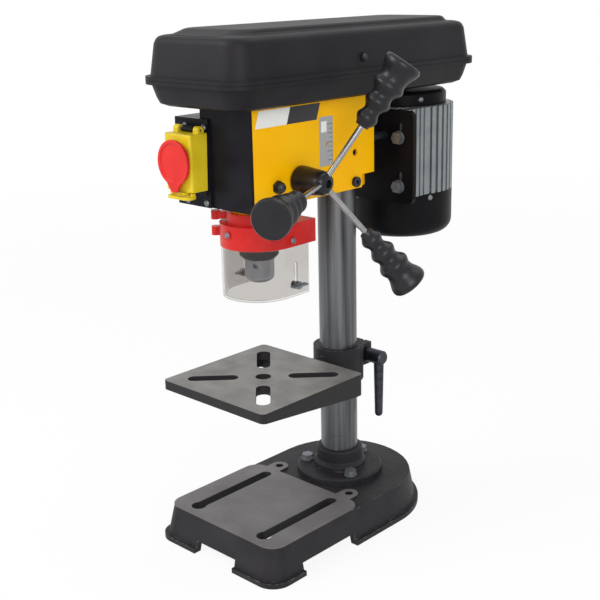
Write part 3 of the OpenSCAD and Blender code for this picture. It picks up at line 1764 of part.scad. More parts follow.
base_casting();
column_flange();
flange_bolts();
column_tube();
table_bracket();
table();
tilt_bolt();
clamp_screw();
clamp_lever();
head_casting();
head_set_screws();
quill_guide_screw();
scale_plate();
front_panel();
panel_screws();
cable_gland();
switch_body();
switch_cover();
switch_hinge_pin();
stop_pad();
start_button();
stop_button();
quill();
quill_bearings();
spindle();
chuck_body();
chuck_ring();
chuck_jaw_1();
chuck_jaw_2();
chuck_jaw_3();
drive_sleeve();
sleeve_bearings();
spindle_pulley();
drive_belt();
motor_pulley();
belt_case();
belt_lid();
lid_hinge_pins();
lid_screw();
feed_shaft();
feed_hub();
feed_rods();
feed_grips();
return_spring();
spring_housing();
motor_frame();
motor_end_bell();
fan_cover();
motor_rotor();
motor_stator();
motor_bearings();
cooling_fan();
motor_plate();
motor_bolts();
slide_bars();
guard_bracket();
guard_screws();
guard_sleeve();
guard_shield();
wing_nuts();
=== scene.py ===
import math

import bmesh
import bpy
from mathutils import Matrix, Vector


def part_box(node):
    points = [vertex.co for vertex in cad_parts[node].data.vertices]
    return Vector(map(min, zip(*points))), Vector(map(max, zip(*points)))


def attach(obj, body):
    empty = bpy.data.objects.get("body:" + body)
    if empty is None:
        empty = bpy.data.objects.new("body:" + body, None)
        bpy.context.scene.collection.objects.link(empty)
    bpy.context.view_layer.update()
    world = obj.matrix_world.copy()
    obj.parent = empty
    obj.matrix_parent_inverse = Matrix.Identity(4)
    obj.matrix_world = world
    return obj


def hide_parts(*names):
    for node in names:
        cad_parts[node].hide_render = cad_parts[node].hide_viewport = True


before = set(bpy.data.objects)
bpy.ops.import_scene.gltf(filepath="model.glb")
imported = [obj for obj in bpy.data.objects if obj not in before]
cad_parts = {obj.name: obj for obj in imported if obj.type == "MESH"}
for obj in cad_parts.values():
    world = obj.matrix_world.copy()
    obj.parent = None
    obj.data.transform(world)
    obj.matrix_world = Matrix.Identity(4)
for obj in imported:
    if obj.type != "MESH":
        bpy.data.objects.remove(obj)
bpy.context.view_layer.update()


# Base: a hollow iron casting, sand cast and painted dark grey, with a planed work pad.
# It stands on the bench on its foot rim, and two ears of the pad take the bench bolts.
MM = 0.001


def linear(code):
    channels = [int(code[i:i + 2], 16) / 255 for i in (1, 3, 5)]
    return tuple(c / 12.92 if c <= 0.04045 else ((c + 0.055) / 1.055) ** 2.4 for c in channels) + (1.0,)


def add_node(tree, kind, sockets=None, stops=(), **settings):
    node = tree.nodes.new("ShaderNode" + kind)
    for name, value in settings.items():
        setattr(node, name, value)
    for number, (position, code) in enumerate(stops):
        node.color_ramp.elements[number].position = position
        node.color_ramp.elements[number].color = linear(code)
    for name, value in (sockets or {}).items():
        if isinstance(value, bpy.types.NodeSocket):
            tree.links.new(value, node.inputs[name])
        else:
            node.inputs[name].default_value = value
    return node


def start_material(name, sockets):
    material = bpy.data.materials.new(name)
    material.use_nodes = True
    tree = material.node_tree
    shader = tree.nodes["Principled BSDF"]
    for socket, value in sockets.items():
        shader.inputs[socket].default_value = value
    place = add_node(tree, "TexCoord").outputs["Object"]
    return material, tree, shader, place


def show(piece, material, body, slot, *nodes):
    piece.data.materials.clear()
    piece.data.materials.append(material)
    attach(piece, body)
    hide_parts(*nodes)


def finish_mesh(shape, name, sharp=40):
    bmesh.ops.recalc_face_normals(shape, faces=shape.faces)
    return store_mesh(shape, name, sharp)


def store_mesh(shape, name, sharp=40):
    for face in shape.faces:
        face.smooth = True
    for edge in shape.edges:
        edge.smooth = len(edge.link_faces) == 2 and edge.calc_face_angle(0) < math.radians(sharp)
    mesh = bpy.data.meshes.new(name)
    shape.to_mesh(mesh)
    shape.free()
    piece = bpy.data.objects.new(name, mesh)
    bpy.context.scene.collection.objects.link(piece)
    even = piece.modifiers.new("even_normals", "WEIGHTED_NORMAL")
    even.keep_sharp = True
    return piece


def edges_over(shape, degrees):
    limit = math.radians(degrees)
    return [e for e in shape.edges if len(e.link_faces) == 2 and e.calc_face_angle(0) > limit]


def copy_node(node):
    shape = bmesh.new()
    shape.from_mesh(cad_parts[node].data)
    weld = 0.005 * MM
    flat_turn = math.radians(0.6)
    bmesh.ops.remove_doubles(shape, verts=shape.verts, dist=weld)
    flat = [e for e in shape.edges if len(e.link_faces) == 2 and e.calc_face_angle(math.pi) < flat_turn]
    bmesh.ops.dissolve_edges(shape, edges=flat, use_verts=False, use_face_split=False)
    lone = [v for v in shape.verts if len(v.link_edges) == 2 and v.calc_edge_angle(math.pi) < flat_turn]
    bmesh.ops.dissolve_verts(shape, verts=lone)
    return shape


def round_edges(shape, edges, width, segments):
    bmesh.ops.bevel(shape, geom=edges, offset=width, offset_type="OFFSET", affect="EDGES",
                    segments=segments, profile=0.5, material=-1, clamp_overlap=True)


def eased(node, name, width, over=35, segments=2):
    shape = copy_node(node)
    round_edges(shape, edges_over(shape, over), width, segments)
    return store_mesh(shape, name)


iron, tree, shader, place = start_material("painted_cast_iron", {})
# Sand moulding leaves millimetre grains under the paint, and the colour drifts over a few centimetres.
drift = add_node(tree, "TexNoise", {"Vector": place, "Scale": 1 / (45 * MM), "Detail": 3.0}).outputs["Fac"]
grain = add_node(tree, "TexNoise", {"Vector": place, "Scale": 1 / (1.4 * MM), "Detail": 2.0}).outputs["Fac"]
pits = add_node(tree, "TexNoise", {"Vector": place, "Scale": 1 / (7 * MM), "Detail": 4.0}).outputs["Fac"]
paint = add_node(tree, "ValToRGB", {"Fac": drift}, stops=((0.3, "#201E21"), (0.7, "#2D2B2E")))
round_normal = add_node(tree, "Bevel", {"Radius": 1.6 * MM}, samples=4).outputs["Normal"]
face_normal = add_node(tree, "NewGeometry").outputs["Normal"]
facing = add_node(tree, "VectorMath", {
    0: round_normal, 1: face_normal}, operation="DOT_PRODUCT").outputs["Value"]
edge = add_node(tree, "MapRange", {"Value": facing, "From Min": 0.995, "From Max": 0.86}).outputs["Result"]
chips = add_node(tree, "MapRange", {"Value": pits, "From Min": 0.48, "From Max": 0.66}).outputs["Result"]
wear = add_node(tree, "Math", {0: edge, 1: chips}, operation="MULTIPLY").outputs["Value"]
worn = add_node(tree, "Mix", {"Factor": wear, "A": paint.outputs["Color"], "B": linear("#77757A")},
                data_type="RGBA")
# The planer has bared the work pad and the ears of its bolt holes, which have gone dull since.
pad_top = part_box("base_casting")[1].z
pad_fade = (0.4 * MM, 0.8 * MM)
foot_clear = (57 * MM, 58 * MM)
level = add_node(tree, "SeparateXYZ", {"Vector": place}).outputs["Z"]
above = add_node(tree, "MapRange", {
    "Value": level, "From Min": pad_top - pad_fade[1], "From Max": pad_top - pad_fade[0]}).outputs["Result"]
below = add_node(tree, "MapRange", {
    "Value": level, "From Min": pad_top + pad_fade[1], "From Max": pad_top + pad_fade[0]}).outputs["Result"]
planed_level = add_node(tree, "Math", {0: above, 1: below}, operation="MULTIPLY").outputs["Value"]
in_plan = add_node(tree, "VectorMath", {
    0: place, 1: (1.0, 1.0, 0.0)}, operation="MULTIPLY").outputs["Vector"]
reach = add_node(tree, "VectorMath", {0: in_plan}, operation="LENGTH").outputs["Value"]
past_foot = add_node(tree, "MapRange", {
    "Value": reach, "From Min": foot_clear[0], "From Max": foot_clear[1]}).outputs["Result"]
pad = add_node(tree, "Math", {0: planed_level, 1: past_foot}, operation="MULTIPLY").outputs["Value"]
dulled = add_node(tree, "ValToRGB", {"Fac": drift}, stops=((0.3, "#5A5757"), (0.7, "#6E6B6B")))
surface = add_node(tree, "Mix", {
    "Factor": pad, "A": worn.outputs["Result"], "B": dulled.outputs["Color"]}, data_type="RGBA")
tree.links.new(surface.outputs["Result"], shader.inputs["Base Color"])
gloss = add_node(tree, "MapRange", {"Value": pits, "To Min": 0.42, "To Max": 0.62}).outputs["Result"]
tree.links.new(gloss, shader.inputs["Roughness"])
lustre = add_node(tree, "MapRange", {"Value": pad, "To Min": 0.18, "To Max": 0.55}).outputs["Result"]
tree.links.new(lustre, shader.inputs["Specular IOR Level"])
sand = add_node(tree, "Bump", {"Height": grain, "Strength": 0.22, "Distance": 0.5 * MM})
waves = add_node(tree, "Bump", {
    "Height": pits, "Strength": 0.25, "Distance": 0.8 * MM, "Normal": sand.outputs["Normal"]})
tree.links.new(waves.outputs["Normal"], shader.inputs["Normal"])

show(eased("base_casting", "base_casting_body", 1.6 * MM, segments=3),
     iron, "frame", "iron_dark", "base_casting")


# Column foot: a stepped iron flange, turned and painted like the base, pressed on the tube's lower end.
# Three hex bolts with washers hold it on the base.
show(eased("column_flange", "column_foot_flange", 1.0 * MM), iron, "frame", "iron_dark", "column_flange")

bolt_steel, tree, shader, place = start_material("zinc_plated_bolt", {"Metallic": 0.7})
# Zinc on forged heads is bright, a little blue, with cloudy patches of a few millimetres.
cloud = add_node(tree, "TexNoise", {"Vector": place, "Scale": 1 / (3 * MM), "Detail": 4.0}).outputs["Fac"]
zinc = add_node(tree, "ValToRGB", {"Fac": cloud}, stops=((0.0, "#5C6065"), (1.0, "#8E9297")))
tree.links.new(zinc.outputs["Color"], shader.inputs["Base Color"])
dull = add_node(tree, "MapRange", {"Value": cloud, "To Min": 0.34, "To Max": 0.58}).outputs["Result"]
tree.links.new(dull, shader.inputs["Roughness"])
forge = add_node(tree, "Bump", {"Height": cloud, "Strength": 0.12, "Distance": 0.3 * MM})
tree.links.new(forge.outputs["Normal"], shader.inputs["Normal"])
show(eased("flange_bolts", "flange_bolt_set", 0.5 * MM), bolt_steel, "frame", "bolt_steel", "flange_bolts")


# Column: a thick-walled steel tube, ground bright round its girth.
# It stands in the flange and carries the table collar and the head.
def turned(name, outline, axis_point, axis, steps=96):
    shape = bmesh.new()
    side = Vector((1, 0, 0)) if abs(axis.x) < 0.9 else Vector((0, 0, 1))
    side = (side - axis * side.dot(axis)).normalized()
    ring = [shape.verts.new(axis_point + side * r + axis * h) for r, h in outline]
    for first, second in zip(ring, ring[1:]):
        shape.edges.new((first, second))
    bmesh.ops.spin(shape, geom=shape.verts[:] + shape.edges[:], cent=axis_point, axis=axis, angle=math.tau,
                   steps=steps, use_merge=True)
    seam = 0.01 * MM
    bmesh.ops.remove_doubles(shape, verts=shape.verts, dist=seam)
    return finish_mesh(shape, name, sharp=30)


up = Vector((0, 0, 1))
column_low, column_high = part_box("column_tube")
column_r = (column_high.x - column_low.x) / 2
column_wall = 4 * MM
column_l = column_high.z - column_low.z
edge_break = 0.6 * MM
column_bore = column_r - column_wall
column_outline = [(column_bore, 0), (column_r, 0), (column_r, column_l - edge_break),
                  (column_r - edge_break, column_l), (column_bore, column_l), (column_bore, 0)]
column = turned("column_ground_tube", column_outline, Vector((0, 0, column_low.z)), up, 128)
ground, tree, shader, place = start_material("ground_steel", {"Metallic": 0.38})
# The wheel leaves rings too fine to show, so they are drawn coarser; the broad lengthwise light and dark
# streaks are painted reflections.
girth = add_node(tree, "Mapping", {
    "Vector": place, "Scale": (30.0, 30.0, 1 / (1.1 * MM))}).outputs["Vector"]
rings = add_node(tree, "TexNoise", {"Vector": girth, "Scale": 1.0, "Detail": 3.0}).outputs["Fac"]
lengthwise = add_node(tree, "Mapping", {
    "Vector": place, "Location": (12.0, 20.0, 0.0), "Scale": (75.0, 75.0, 1.5)}).outputs["Vector"]
painted_reflection_streaks = add_node(tree, "TexNoise", {"Vector": lengthwise, "Scale": 1.0, "Detail": 4.0}).outputs["Fac"]
# Painted reflection: the lengthwise streaks move the base colour between dark and light grey, standing in
# for the bright and dark bands that polished steel mirrors.
steel = add_node(tree, "ValToRGB", {"Fac": painted_reflection_streaks}, stops=((0.36, "#3F4043"), (0.64, "#848689")))
tree.links.new(steel.outputs["Color"], shader.inputs["Base Color"])
sheen = add_node(tree, "MapRange", {"Value": rings, "To Min": 0.22, "To Max": 0.42}).outputs["Result"]
tree.links.new(sheen, shader.inputs["Roughness"])
marks = add_node(tree, "Bump", {"Height": rings, "Strength": 0.1, "Distance": 0.05 * MM})
tree.links.new(marks.outputs["Normal"], shader.inputs["Normal"])
show(column, ground, "frame", "ground_steel", "column_tube")


# Table support: a split iron collar on the column with a round tilt face, its tilt bolt and its clamp screw.
# The collar is painted like the base, and the hanging lever tightens it.
show(eased("table_bracket", "table_collar", 1.2 * MM), iron, "table_support", "iron_dark", "table_bracket")
show(eased("tilt_bolt", "table_tilt_bolt", 0.5 * MM),
     bolt_steel, "table_support", "bolt_steel", "tilt_bolt")
show(eased("clamp_screw", "collar_clamp_screw", 0.4 * MM),
     bolt_steel, "table_support", "bolt_steel", "clamp_screw")

black_steel, tree, shader, place = start_material("blackened_steel", {"Metallic": 0.85})
# Hot blacking is a thin blue-black skin with cloudy patches, some of them rubbed duller than others.
skin = add_node(tree, "TexNoise", {"Vector": place, "Scale": 1 / (6 * MM), "Detail": 4.0}).outputs["Fac"]
blacking = add_node(tree, "ValToRGB", {"Fac": skin}, stops=((0.3, "#2A2C31"), (0.75, "#484B52")))
tree.links.new(blacking.outputs["Color"], shader.inputs["Base Color"])
touch = add_node(tree, "MapRange", {"Value": skin, "To Min": 0.3, "To Max": 0.52}).outputs["Result"]
tree.links.new(touch, shader.inputs["Roughness"])
scale_skin = add_node(tree, "Bump", {"Height": skin, "Strength": 0.1, "Distance": 0.2 * MM})
tree.links.new(scale_skin.outputs["Normal"], shader.inputs["Normal"])
show(eased("clamp_lever", "collar_clamp_lever", 0.8 * MM),
     black_steel, "clamp_lever", "black_steel", "clamp_lever")


# Table: a square iron plate on a tapered skirt, planed on top and painted on its sides.
# Two wide and two narrow diagonal slots take clamp bolts, and it tilts on the collar's face.
planed, tree, shader, place = start_material("planed_iron", {"Specular IOR Level": 0.18})
# The planer leaves straight marks across the top; the sides keep their dark paint.
facing_up = add_node(tree, "TexCoord").outputs["Normal"]
rise = add_node(tree, "SeparateXYZ", {"Vector": facing_up}).outputs["Z"]
top = add_node(tree, "MapRange", {"Value": rise, "From Min": 0.8, "From Max": 0.95}).outputs["Result"]
stroke = add_node(tree, "Mapping", {"Vector": place, "Scale": (8.0, 1 / (1.6 * MM), 8.0)}).outputs["Vector"]
cuts = add_node(tree, "TexNoise", {"Vector": stroke, "Scale": 1.0, "Detail": 2.0}).outputs["Fac"]
blotch = add_node(tree, "TexNoise", {"Vector": place, "Scale": 1 / (30 * MM), "Detail": 4.0}).outputs["Fac"]
bare = add_node(tree, "ValToRGB", {"Fac": blotch}, stops=((0.3, "#6F6E6C"), (0.7, "#8C8B88")))
cover = add_node(tree, "Mix", {
    "Factor": top, "A": linear("#262426"), "B": bare.outputs["Color"]}, data_type="RGBA")
tree.links.new(cover.outputs["Result"], shader.inputs["Base Color"])
bright = add_node(tree, "Math", {0: top, 1: 0.35}, operation="MULTIPLY").outputs["Value"]
tree.links.new(bright, shader.inputs["Metallic"])
polish = add_node(tree, "MapRange", {"Value": cuts, "To Min": 0.36, "To Max": 0.52}).outputs["Result"]
tree.links.new(polish, shader.inputs["Roughness"])
sand_side = add_node(tree, "TexNoise", {
    "Vector": place, "Scale": 1 / (1.6 * MM), "Detail": 2.0}).outputs["Fac"]
relief = add_node(tree, "Mix", {"Factor": top, "A": sand_side, "B": cuts}, data_type="FLOAT")
tooling = add_node(tree, "Bump", {
    "Height": relief.outputs["Result"], "Strength": 0.18, "Distance": 0.3 * MM})
tree.links.new(tooling.outputs["Normal"], shader.inputs["Normal"])
show(eased("table", "table_plate", 0.9 * MM, segments=3), planed, "table", "machined_iron", "table")


# Head: a box-shaped casting in yellow enamel that clamps on the column and carries quill and feed shaft.
# Two socket screws lock it, and a screw with a domed nut guides the quill.
enamel, tree, shader, place = start_material(
    "yellow_enamel", {"Roughness": 0.36, "Specular IOR Level": 0.12})
# Sprayed enamel has a faint orange-peel ripple, a little drift in tone, and thin spots along the edges.
tone = add_node(tree, "TexNoise", {"Vector": place, "Scale": 1 / (60 * MM), "Detail": 2.0}).outputs["Fac"]
yellow = add_node(tree, "ValToRGB", {"Fac": tone}, stops=((0.3, "#FDB800"), (0.7, "#FFC200")))
soft_normal = add_node(tree, "Bevel", {"Radius": 1.2 * MM}, samples=4).outputs["Normal"]
true_normal = add_node(tree, "NewGeometry").outputs["Normal"]
lean = add_node(tree, "VectorMath", {
    0: soft_normal, 1: true_normal}, operation="DOT_PRODUCT").outputs["Value"]
rim = add_node(tree, "MapRange", {
    "Value": lean, "From Min": 0.99, "From Max": 0.85, "To Max": 0.35}).outputs["Result"]
thin = add_node(tree, "Mix", {
    "Factor": rim, "A": yellow.outputs["Color"], "B": linear("#C98F10")}, data_type="RGBA")
tree.links.new(thin.outputs["Result"], shader.inputs["Base Color"])
peel = add_node(tree, "TexNoise", {"Vector": place, "Scale": 1 / (2.2 * MM), "Detail": 1.0}).outputs["Fac"]
ripple = add_node(tree, "Bump", {"Height": peel, "Strength": 0.06, "Distance": 0.3 * MM})
tree.links.new(ripple.outputs["Normal"], shader.inputs["Normal"])
show(eased("head_casting", "head_housing", 1.0 * MM), enamel, "frame", "yellow_paint", "head_casting")
show(eased("head_set_screws", "head_lock_screws", 0.3 * MM),
     black_steel, "frame", "black_steel", "head_set_screws")
show(eased("quill_guide_screw", "quill_guide_screw_nut", 0.3 * MM),
     black_steel, "frame", "black_steel", "quill_guide_screw")


# Depth scale: a thin anodised plate let into the side of the head, with plain depth marks and a pin hole.
# A plain two-tone band, pale vinyl and black ink, runs along the head above the feed hub.
printed, tree, shader, place = start_material("anodised_scale_plate", {"Metallic": 0.6, "Roughness": 0.4})
# Anodised sheet is a soft grey with fine rolling lines along its length.
rolled = add_node(tree, "Mapping", {
    "Vector": place, "Scale": (1 / (0.9 * MM), 1 / (0.9 * MM), 12.0)}).outputs["Vector"]
lines = add_node(tree, "TexNoise", {"Vector": rolled, "Scale": 1.0, "Detail": 2.0}).outputs["Fac"]
sheet_grey = add_node(tree, "ValToRGB", {"Fac": lines}, stops=((0.0, "#8F9090"), (1.0, "#B2B3B1")))
tree.links.new(sheet_grey.outputs["Color"], shader.inputs["Base Color"])
show(eased("scale_plate", "depth_scale_plate", 0.25 * MM), printed, "frame", "scale_metal", "scale_plate")


def boxes(name, corners, ease=0.0):
    shape = bmesh.new()
    for low, high in corners:
        low, high = Vector(low), Vector(high)
        size = high - low
        made = bmesh.ops.create_cube(shape, size=1.0)["verts"]
        bmesh.ops.scale(shape, vec=size, verts=made)
        bmesh.ops.translate(shape, vec=(low + high) / 2, verts=made)
    if ease:
        round_edges(shape, shape.edges[:], ease, 2)
    return finish_mesh(shape, name)


scale_low, scale_high = (Vector(c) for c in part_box("scale_plate"))
mark_count = 9
mark_step = 5 * MM
mark_t = 0.6 * MM
mark_skin = 0.08 * MM
mark_lengths = (8 * MM, 5 * MM)
marks_low = scale_low.z + 6 * MM
marks_rear = scale_high.y - 1 * MM
marks_at = []
for number in range(mark_count):
    z = marks_low + number * mark_step
    marks_at.append(((scale_high.x - mark_skin, marks_rear - mark_lengths[number % 2], z),
                     (scale_high.x + mark_skin, marks_rear, z + mark_t)))
ink, tree, shader, place = start_material("black_printing_ink", {"Roughness": 0.5})
# Screen ink is thin and a little uneven in tone.
patch = add_node(tree, "TexNoise", {"Vector": place, "Scale": 1 / (2 * MM)}).outputs["Fac"]
ink_tone = add_node(tree, "ValToRGB", {"Fac": patch}, stops=((0.0, "#17171A"), (1.0, "#2B2B2F")))
tree.links.new(ink_tone.outputs["Color"], shader.inputs["Base Color"])
scale_marks = boxes("depth_scale_marks", marks_at)
show(scale_marks, ink, "frame", "scale_metal")

head_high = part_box("head_casting")[1]
band_low, band_high = head_high.z - 22 * MM, head_high.z - 4 * MM
band_front, band_middle, band_rear = -168 * MM, -121 * MM, -74 * MM
band_slant = 6 * MM
band_t = 0.15 * MM


def thicken(shape, faces, step):
    grown = bmesh.ops.extrude_face_region(shape, geom=faces)["geom"]
    moved = [v for v in grown if isinstance(v, bmesh.types.BMVert)]
    bmesh.ops.translate(shape, vec=step, verts=moved)


def slanted_band(name, start_y, end_y):
    shape = bmesh.new()
    corners = [(start_y, band_low), (end_y, band_low), (end_y + band_slant, band_high),
               (start_y + band_slant, band_high)]
    patch_face = shape.faces.new([shape.verts.new((head_high.x, y, z)) for y, z in corners])
    thicken(shape, [patch_face], (band_t, 0, 0))
    return finish_mesh(shape, name)


white_ink, tree, shader, place = start_material("white_band_vinyl", {"Roughness": 0.35})
# Cut vinyl film is even and slightly glossy.
film = add_node(tree, "TexNoise", {"Vector": place, "Scale": 1 / (12 * MM)}).outputs["Fac"]
white = add_node(tree, "ValToRGB", {"Fac": film}, stops=((0.0, "#E2E2DE"), (1.0, "#F2F2EE")))
tree.links.new(white.outputs["Color"], shader.inputs["Base Color"])
patch_y = (scale_low.y + 3 * MM, scale_low.y + 12 * MM)
patch_z = (scale_high.z - 17 * MM, scale_high.z - 5 * MM)
scale_patch = boxes("depth_scale_patch", [
    ((scale_high.x - mark_skin, patch_y[0], patch_z[0]),
     (scale_high.x + mark_skin, patch_y[1], patch_z[1]))])
show(scale_patch, white_ink, "frame", "scale_metal")
show(slanted_band("head_band_pale", band_front, band_middle), white_ink, "frame", "yellow_paint")
show(slanted_band("head_band_dark", band_middle, band_rear), ink, "frame", "yellow_paint")


# Front panel: a black moulded cover over the open front of the head, with the switch box at its left.
# Four screws hold it, and a moulded cable gland sits behind the box.
moulded, tree, shader, place = start_material("textured_black_plastic", {"Specular IOR Level": 0.14})
# The mould is spark eroded, so the black has a fine leathery grain of about a millimetre.
leather = add_node(tree, "TexNoise", {
    "Vector": place, "Scale": 1 / (1.1 * MM), "Detail": 2.0}).outputs["Fac"]
sweep = add_node(tree, "TexNoise", {"Vector": place, "Scale": 1 / (70 * MM), "Detail": 3.0}).outputs["Fac"]
black = add_node(tree, "ValToRGB", {"Fac": sweep}, stops=((0.3, "#1A181B"), (0.7, "#242225")))
tree.links.new(black.outputs["Color"], shader.inputs["Base Color"])
matt = add_node(tree, "MapRange", {"Value": leather, "To Min": 0.42, "To Max": 0.58}).outputs["Result"]
tree.links.new(matt, shader.inputs["Roughness"])
texture = add_node(tree, "Bump", {"Height": leather, "Strength": 0.14, "Distance": 0.25 * MM})
tree.links.new(texture.outputs["Normal"], shader.inputs["Normal"])


def gloss_plastic(name, dark, light, mirror=0.25):
    material, tree, shader, place = start_material(name, {"Specular IOR Level": mirror})
    # Gloss mouldings show slow flow marks and a very fine ripple.
    flow = add_node(tree, "TexNoise", {
        "Vector": place, "Scale": 1 / (25 * MM), "Detail": 2.0}).outputs["Fac"]
    tint = add_node(tree, "ValToRGB", {"Fac": flow}, stops=((0.3, dark), (0.7, light)))
    tree.links.new(tint.outputs["Color"], shader.inputs["Base Color"])
    shine = add_node(tree, "MapRange", {"Value": flow, "To Min": 0.24, "To Max": 0.38}).outputs["Result"]
    tree.links.new(shine, shader.inputs["Roughness"])
    fine = add_node(tree, "TexNoise", {"Vector": place, "Scale": 1 / (1.5 * MM)}).outputs["Fac"]
    skin_bump = add_node(tree, "Bump", {"Height": fine, "Strength": 0.04, "Distance": 0.2 * MM})
    tree.links.new(skin_bump.outputs["Normal"], shader.inputs["Normal"])
    return material


panel_black = gloss_plastic("smooth_black_panel_plastic", "#131318", "#1B1B21", 0.08)
show(eased("front_panel", "front_panel_cover", 1.4 * MM, segments=3),
     panel_black, "frame", "black_plastic", "front_panel")
show(eased("panel_screws", "front_panel_screws", 0.2 * MM),
     bolt_steel, "frame", "bolt_steel", "panel_screws")
show(eased("cable_gland", "mains_inlet_gland", 0.5 * MM), moulded, "frame", "black_plastic", "cable_gland")


# Switch: a two-button switch behind a yellow hinged flap, with a large red pad on it that presses stop.
# Flap, pad and buttons are gloss plastic; the flap turns on a steel pin and ends in a finger loop.
show(eased("switch_body", "switch_block", 0.5 * MM), moulded, "frame", "black_plastic", "switch_body")
show(eased("switch_hinge_pin", "switch_flap_pin", 0.2 * MM),
     bolt_steel, "frame", "bolt_steel", "switch_hinge_pin")
flap_yellow = gloss_plastic("yellow_switch_plastic", "#D0B418", "#DEC62C")
pad_red = gloss_plastic("red_switch_plastic", "#CC2420", "#D82E29")
green_plastic = gloss_plastic("green_button_plastic", "#1F7A36", "#2E9A48")
flap_low, flap_high = (Vector(c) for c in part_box("switch_cover"))
flap_lift = 10 * MM
floor_reach = 7 * MM
floor_setback = 2.2 * MM
rear_skin = 0.1 * MM
front_round, front_depth = 5.5 * MM, 6 * MM
flap_shape = copy_node("switch_cover")
# The flap ends above its finger loop, so its floor is lifted, and kept clear of the switch behind it.
floor_verts = [v for v in flap_shape.verts if v.co.z < flap_low.z + floor_reach]
bmesh.ops.translate(flap_shape, vec=(0, 0, flap_lift), verts=floor_verts)
floor_rear = [v for v in floor_verts if v.co.y > flap_high.y - rear_skin]
bmesh.ops.translate(flap_shape, vec=(0, -floor_setback, 0), verts=floor_rear)
flap_face = max(flap_shape.faces, key=lambda face: -face.normal.y * face.calc_area())
round_edges(flap_shape, flap_face.edges[:], front_round, 5)
rear_edges = [e for e in edges_over(flap_shape, 60)
              if min(v.co.y for v in e.verts) > flap_low.y + front_depth]
round_edges(flap_shape, rear_edges, 0.6 * MM, 2)
show(store_mesh(flap_shape, "switch_flap"), flap_yellow, "switch_cover", "yellow_plastic", "switch_cover")
loop_w, loop_d, loop_bar, loop_h = 36 * MM, 17 * MM, 3.6 * MM, 3.5 * MM
loop_corner = 7 * MM
loop_gap = 2.5 * MM
loop_back = 6.5 * MM
loop_top = flap_low.z + flap_lift - loop_gap
loop_middle = Vector(((flap_low.x + flap_high.x) / 2, flap_low.y + loop_back, loop_top))
loop_shape = bmesh.new()
bmesh.ops.create_grid(loop_shape, x_segments=1, y_segments=1, size=0.5)
bmesh.ops.scale(loop_shape, vec=(loop_w, loop_d, 1), verts=loop_shape.verts)
bmesh.ops.translate(loop_shape, vec=loop_middle, verts=loop_shape.verts)
bmesh.ops.bevel(loop_shape, geom=loop_shape.verts[:], offset=loop_corner, offset_type="OFFSET",
                affect="VERTICES", segments=6, profile=0.5, material=-1)
bmesh.ops.inset_region(loop_shape, faces=loop_shape.faces[:], thickness=loop_bar, use_boundary=True,
                       use_even_offset=True)
inner_face = min(loop_shape.faces, key=lambda face: (face.calc_center_median() - loop_middle).length)
bmesh.ops.delete(loop_shape, geom=[inner_face], context="FACES")
thicken(loop_shape, loop_shape.faces[:], (0, 0, -loop_h))
bmesh.ops.recalc_face_normals(loop_shape, faces=loop_shape.faces)
round_edges(loop_shape, edges_over(loop_shape, 50), 1.0 * MM, 2)
show(finish_mesh(loop_shape, "switch_flap_loop"), flap_yellow, "switch_cover", "yellow_plastic")
post_x = loop_w / 2 - loop_bar / 2
post_low = Vector((-1.6 * MM, -1 * MM, -2.5 * MM))
post_high = Vector((1.6 * MM, 4 * MM, 3.5 * MM))
post_feet = [loop_middle + Vector((side * post_x, 0, 0)) for side in (-1, 1)]
post_boxes = [(foot + post_low, foot + post_high) for foot in post_feet]
loop_posts = boxes("switch_flap_loop_posts", post_boxes, 0.6 * MM)
show(loop_posts, flap_yellow, "switch_cover", "yellow_plastic")
show(eased("stop_pad", "stop_pad_disc", 0.9 * MM, segments=3),
     pad_red, "switch_cover", "red_plastic", "stop_pad")
show(eased("start_button", "start_button_cap", 1.2 * MM, segments=3),
     green_plastic, "start_button", "green_plastic", "start_button")
show(eased("stop_button", "stop_button_cap", 1.2 * MM, segments=3),
     pad_red, "stop_button", "red_plastic", "stop_button")


# Quill and chuck: a ground steel quill with a rack, a spindle in its bearings, and a keyed three-jaw chuck.
# The chuck is phosphated steel; its toothed ring is blacked in oil and takes the key.
show(eased("quill", "quill_sleeve", 0.3 * MM), ground, "quill", "ground_steel", "quill")
show(eased("quill_bearings", "quill_bearing_pair", 0.2 * MM),
     ground, "quill", "ground_steel", "quill_bearings")
show(eased("spindle", "spindle_bar", 0.3 * MM), ground, "spindle", "ground_steel", "spindle")
chuck_grey, tree, shader, place = start_material(
    "phosphated_chuck_steel", {"Metallic": 0.8, "Roughness": 0.45})
# Phosphate leaves a pale grey crystalline skin, with crystals of about a millimetre.
crystal = add_node(tree, "TexNoise", {
    "Vector": place, "Scale": 1 / (1.2 * MM), "Detail": 3.0}).outputs["Fac"]
chuck_tone = add_node(tree, "ValToRGB", {"Fac": crystal}, stops=((0.0, "#B2B6C2"), (1.0, "#CFD3DD")))
tree.links.new(chuck_tone.outputs["Color"], shader.inputs["Base Color"])
crystals = add_node(tree, "Bump", {"Height": crystal, "Strength": 0.1, "Distance": 0.1 * MM})
tree.links.new(crystals.outputs["Normal"], shader.inputs["Normal"])
show(eased("chuck_body", "chuck_shell", 0.5 * MM), chuck_grey, "spindle", "black_steel", "chuck_body")
ring_black, tree, shader, place = start_material(
    "oil_blacked_key_ring", {"Metallic": 0.3, "Roughness": 0.5})
# Blacking in hot oil is nearly matt, with a fine mottle.
mottle = add_node(tree, "TexNoise", {"Vector": place, "Scale": 1 / (2 * MM), "Detail": 3.0}).outputs["Fac"]
ring_tone = add_node(tree, "ValToRGB", {"Fac": mottle}, stops=((0.0, "#0E0E12"), (1.0, "#1C1C22")))
tree.links.new(ring_tone.outputs["Color"], shader.inputs["Base Color"])
show(eased("chuck_ring", "chuck_key_ring", 0.3 * MM), ring_black, "chuck_ring", "black_steel", "chuck_ring")
for number in (1, 2, 3):
    show(eased(f"chuck_jaw_{number}", f"chuck_jaw_block_{number}", 0.3 * MM),
         chuck_grey, f"jaw_{number}", "black_steel", f"chuck_jaw_{number}")


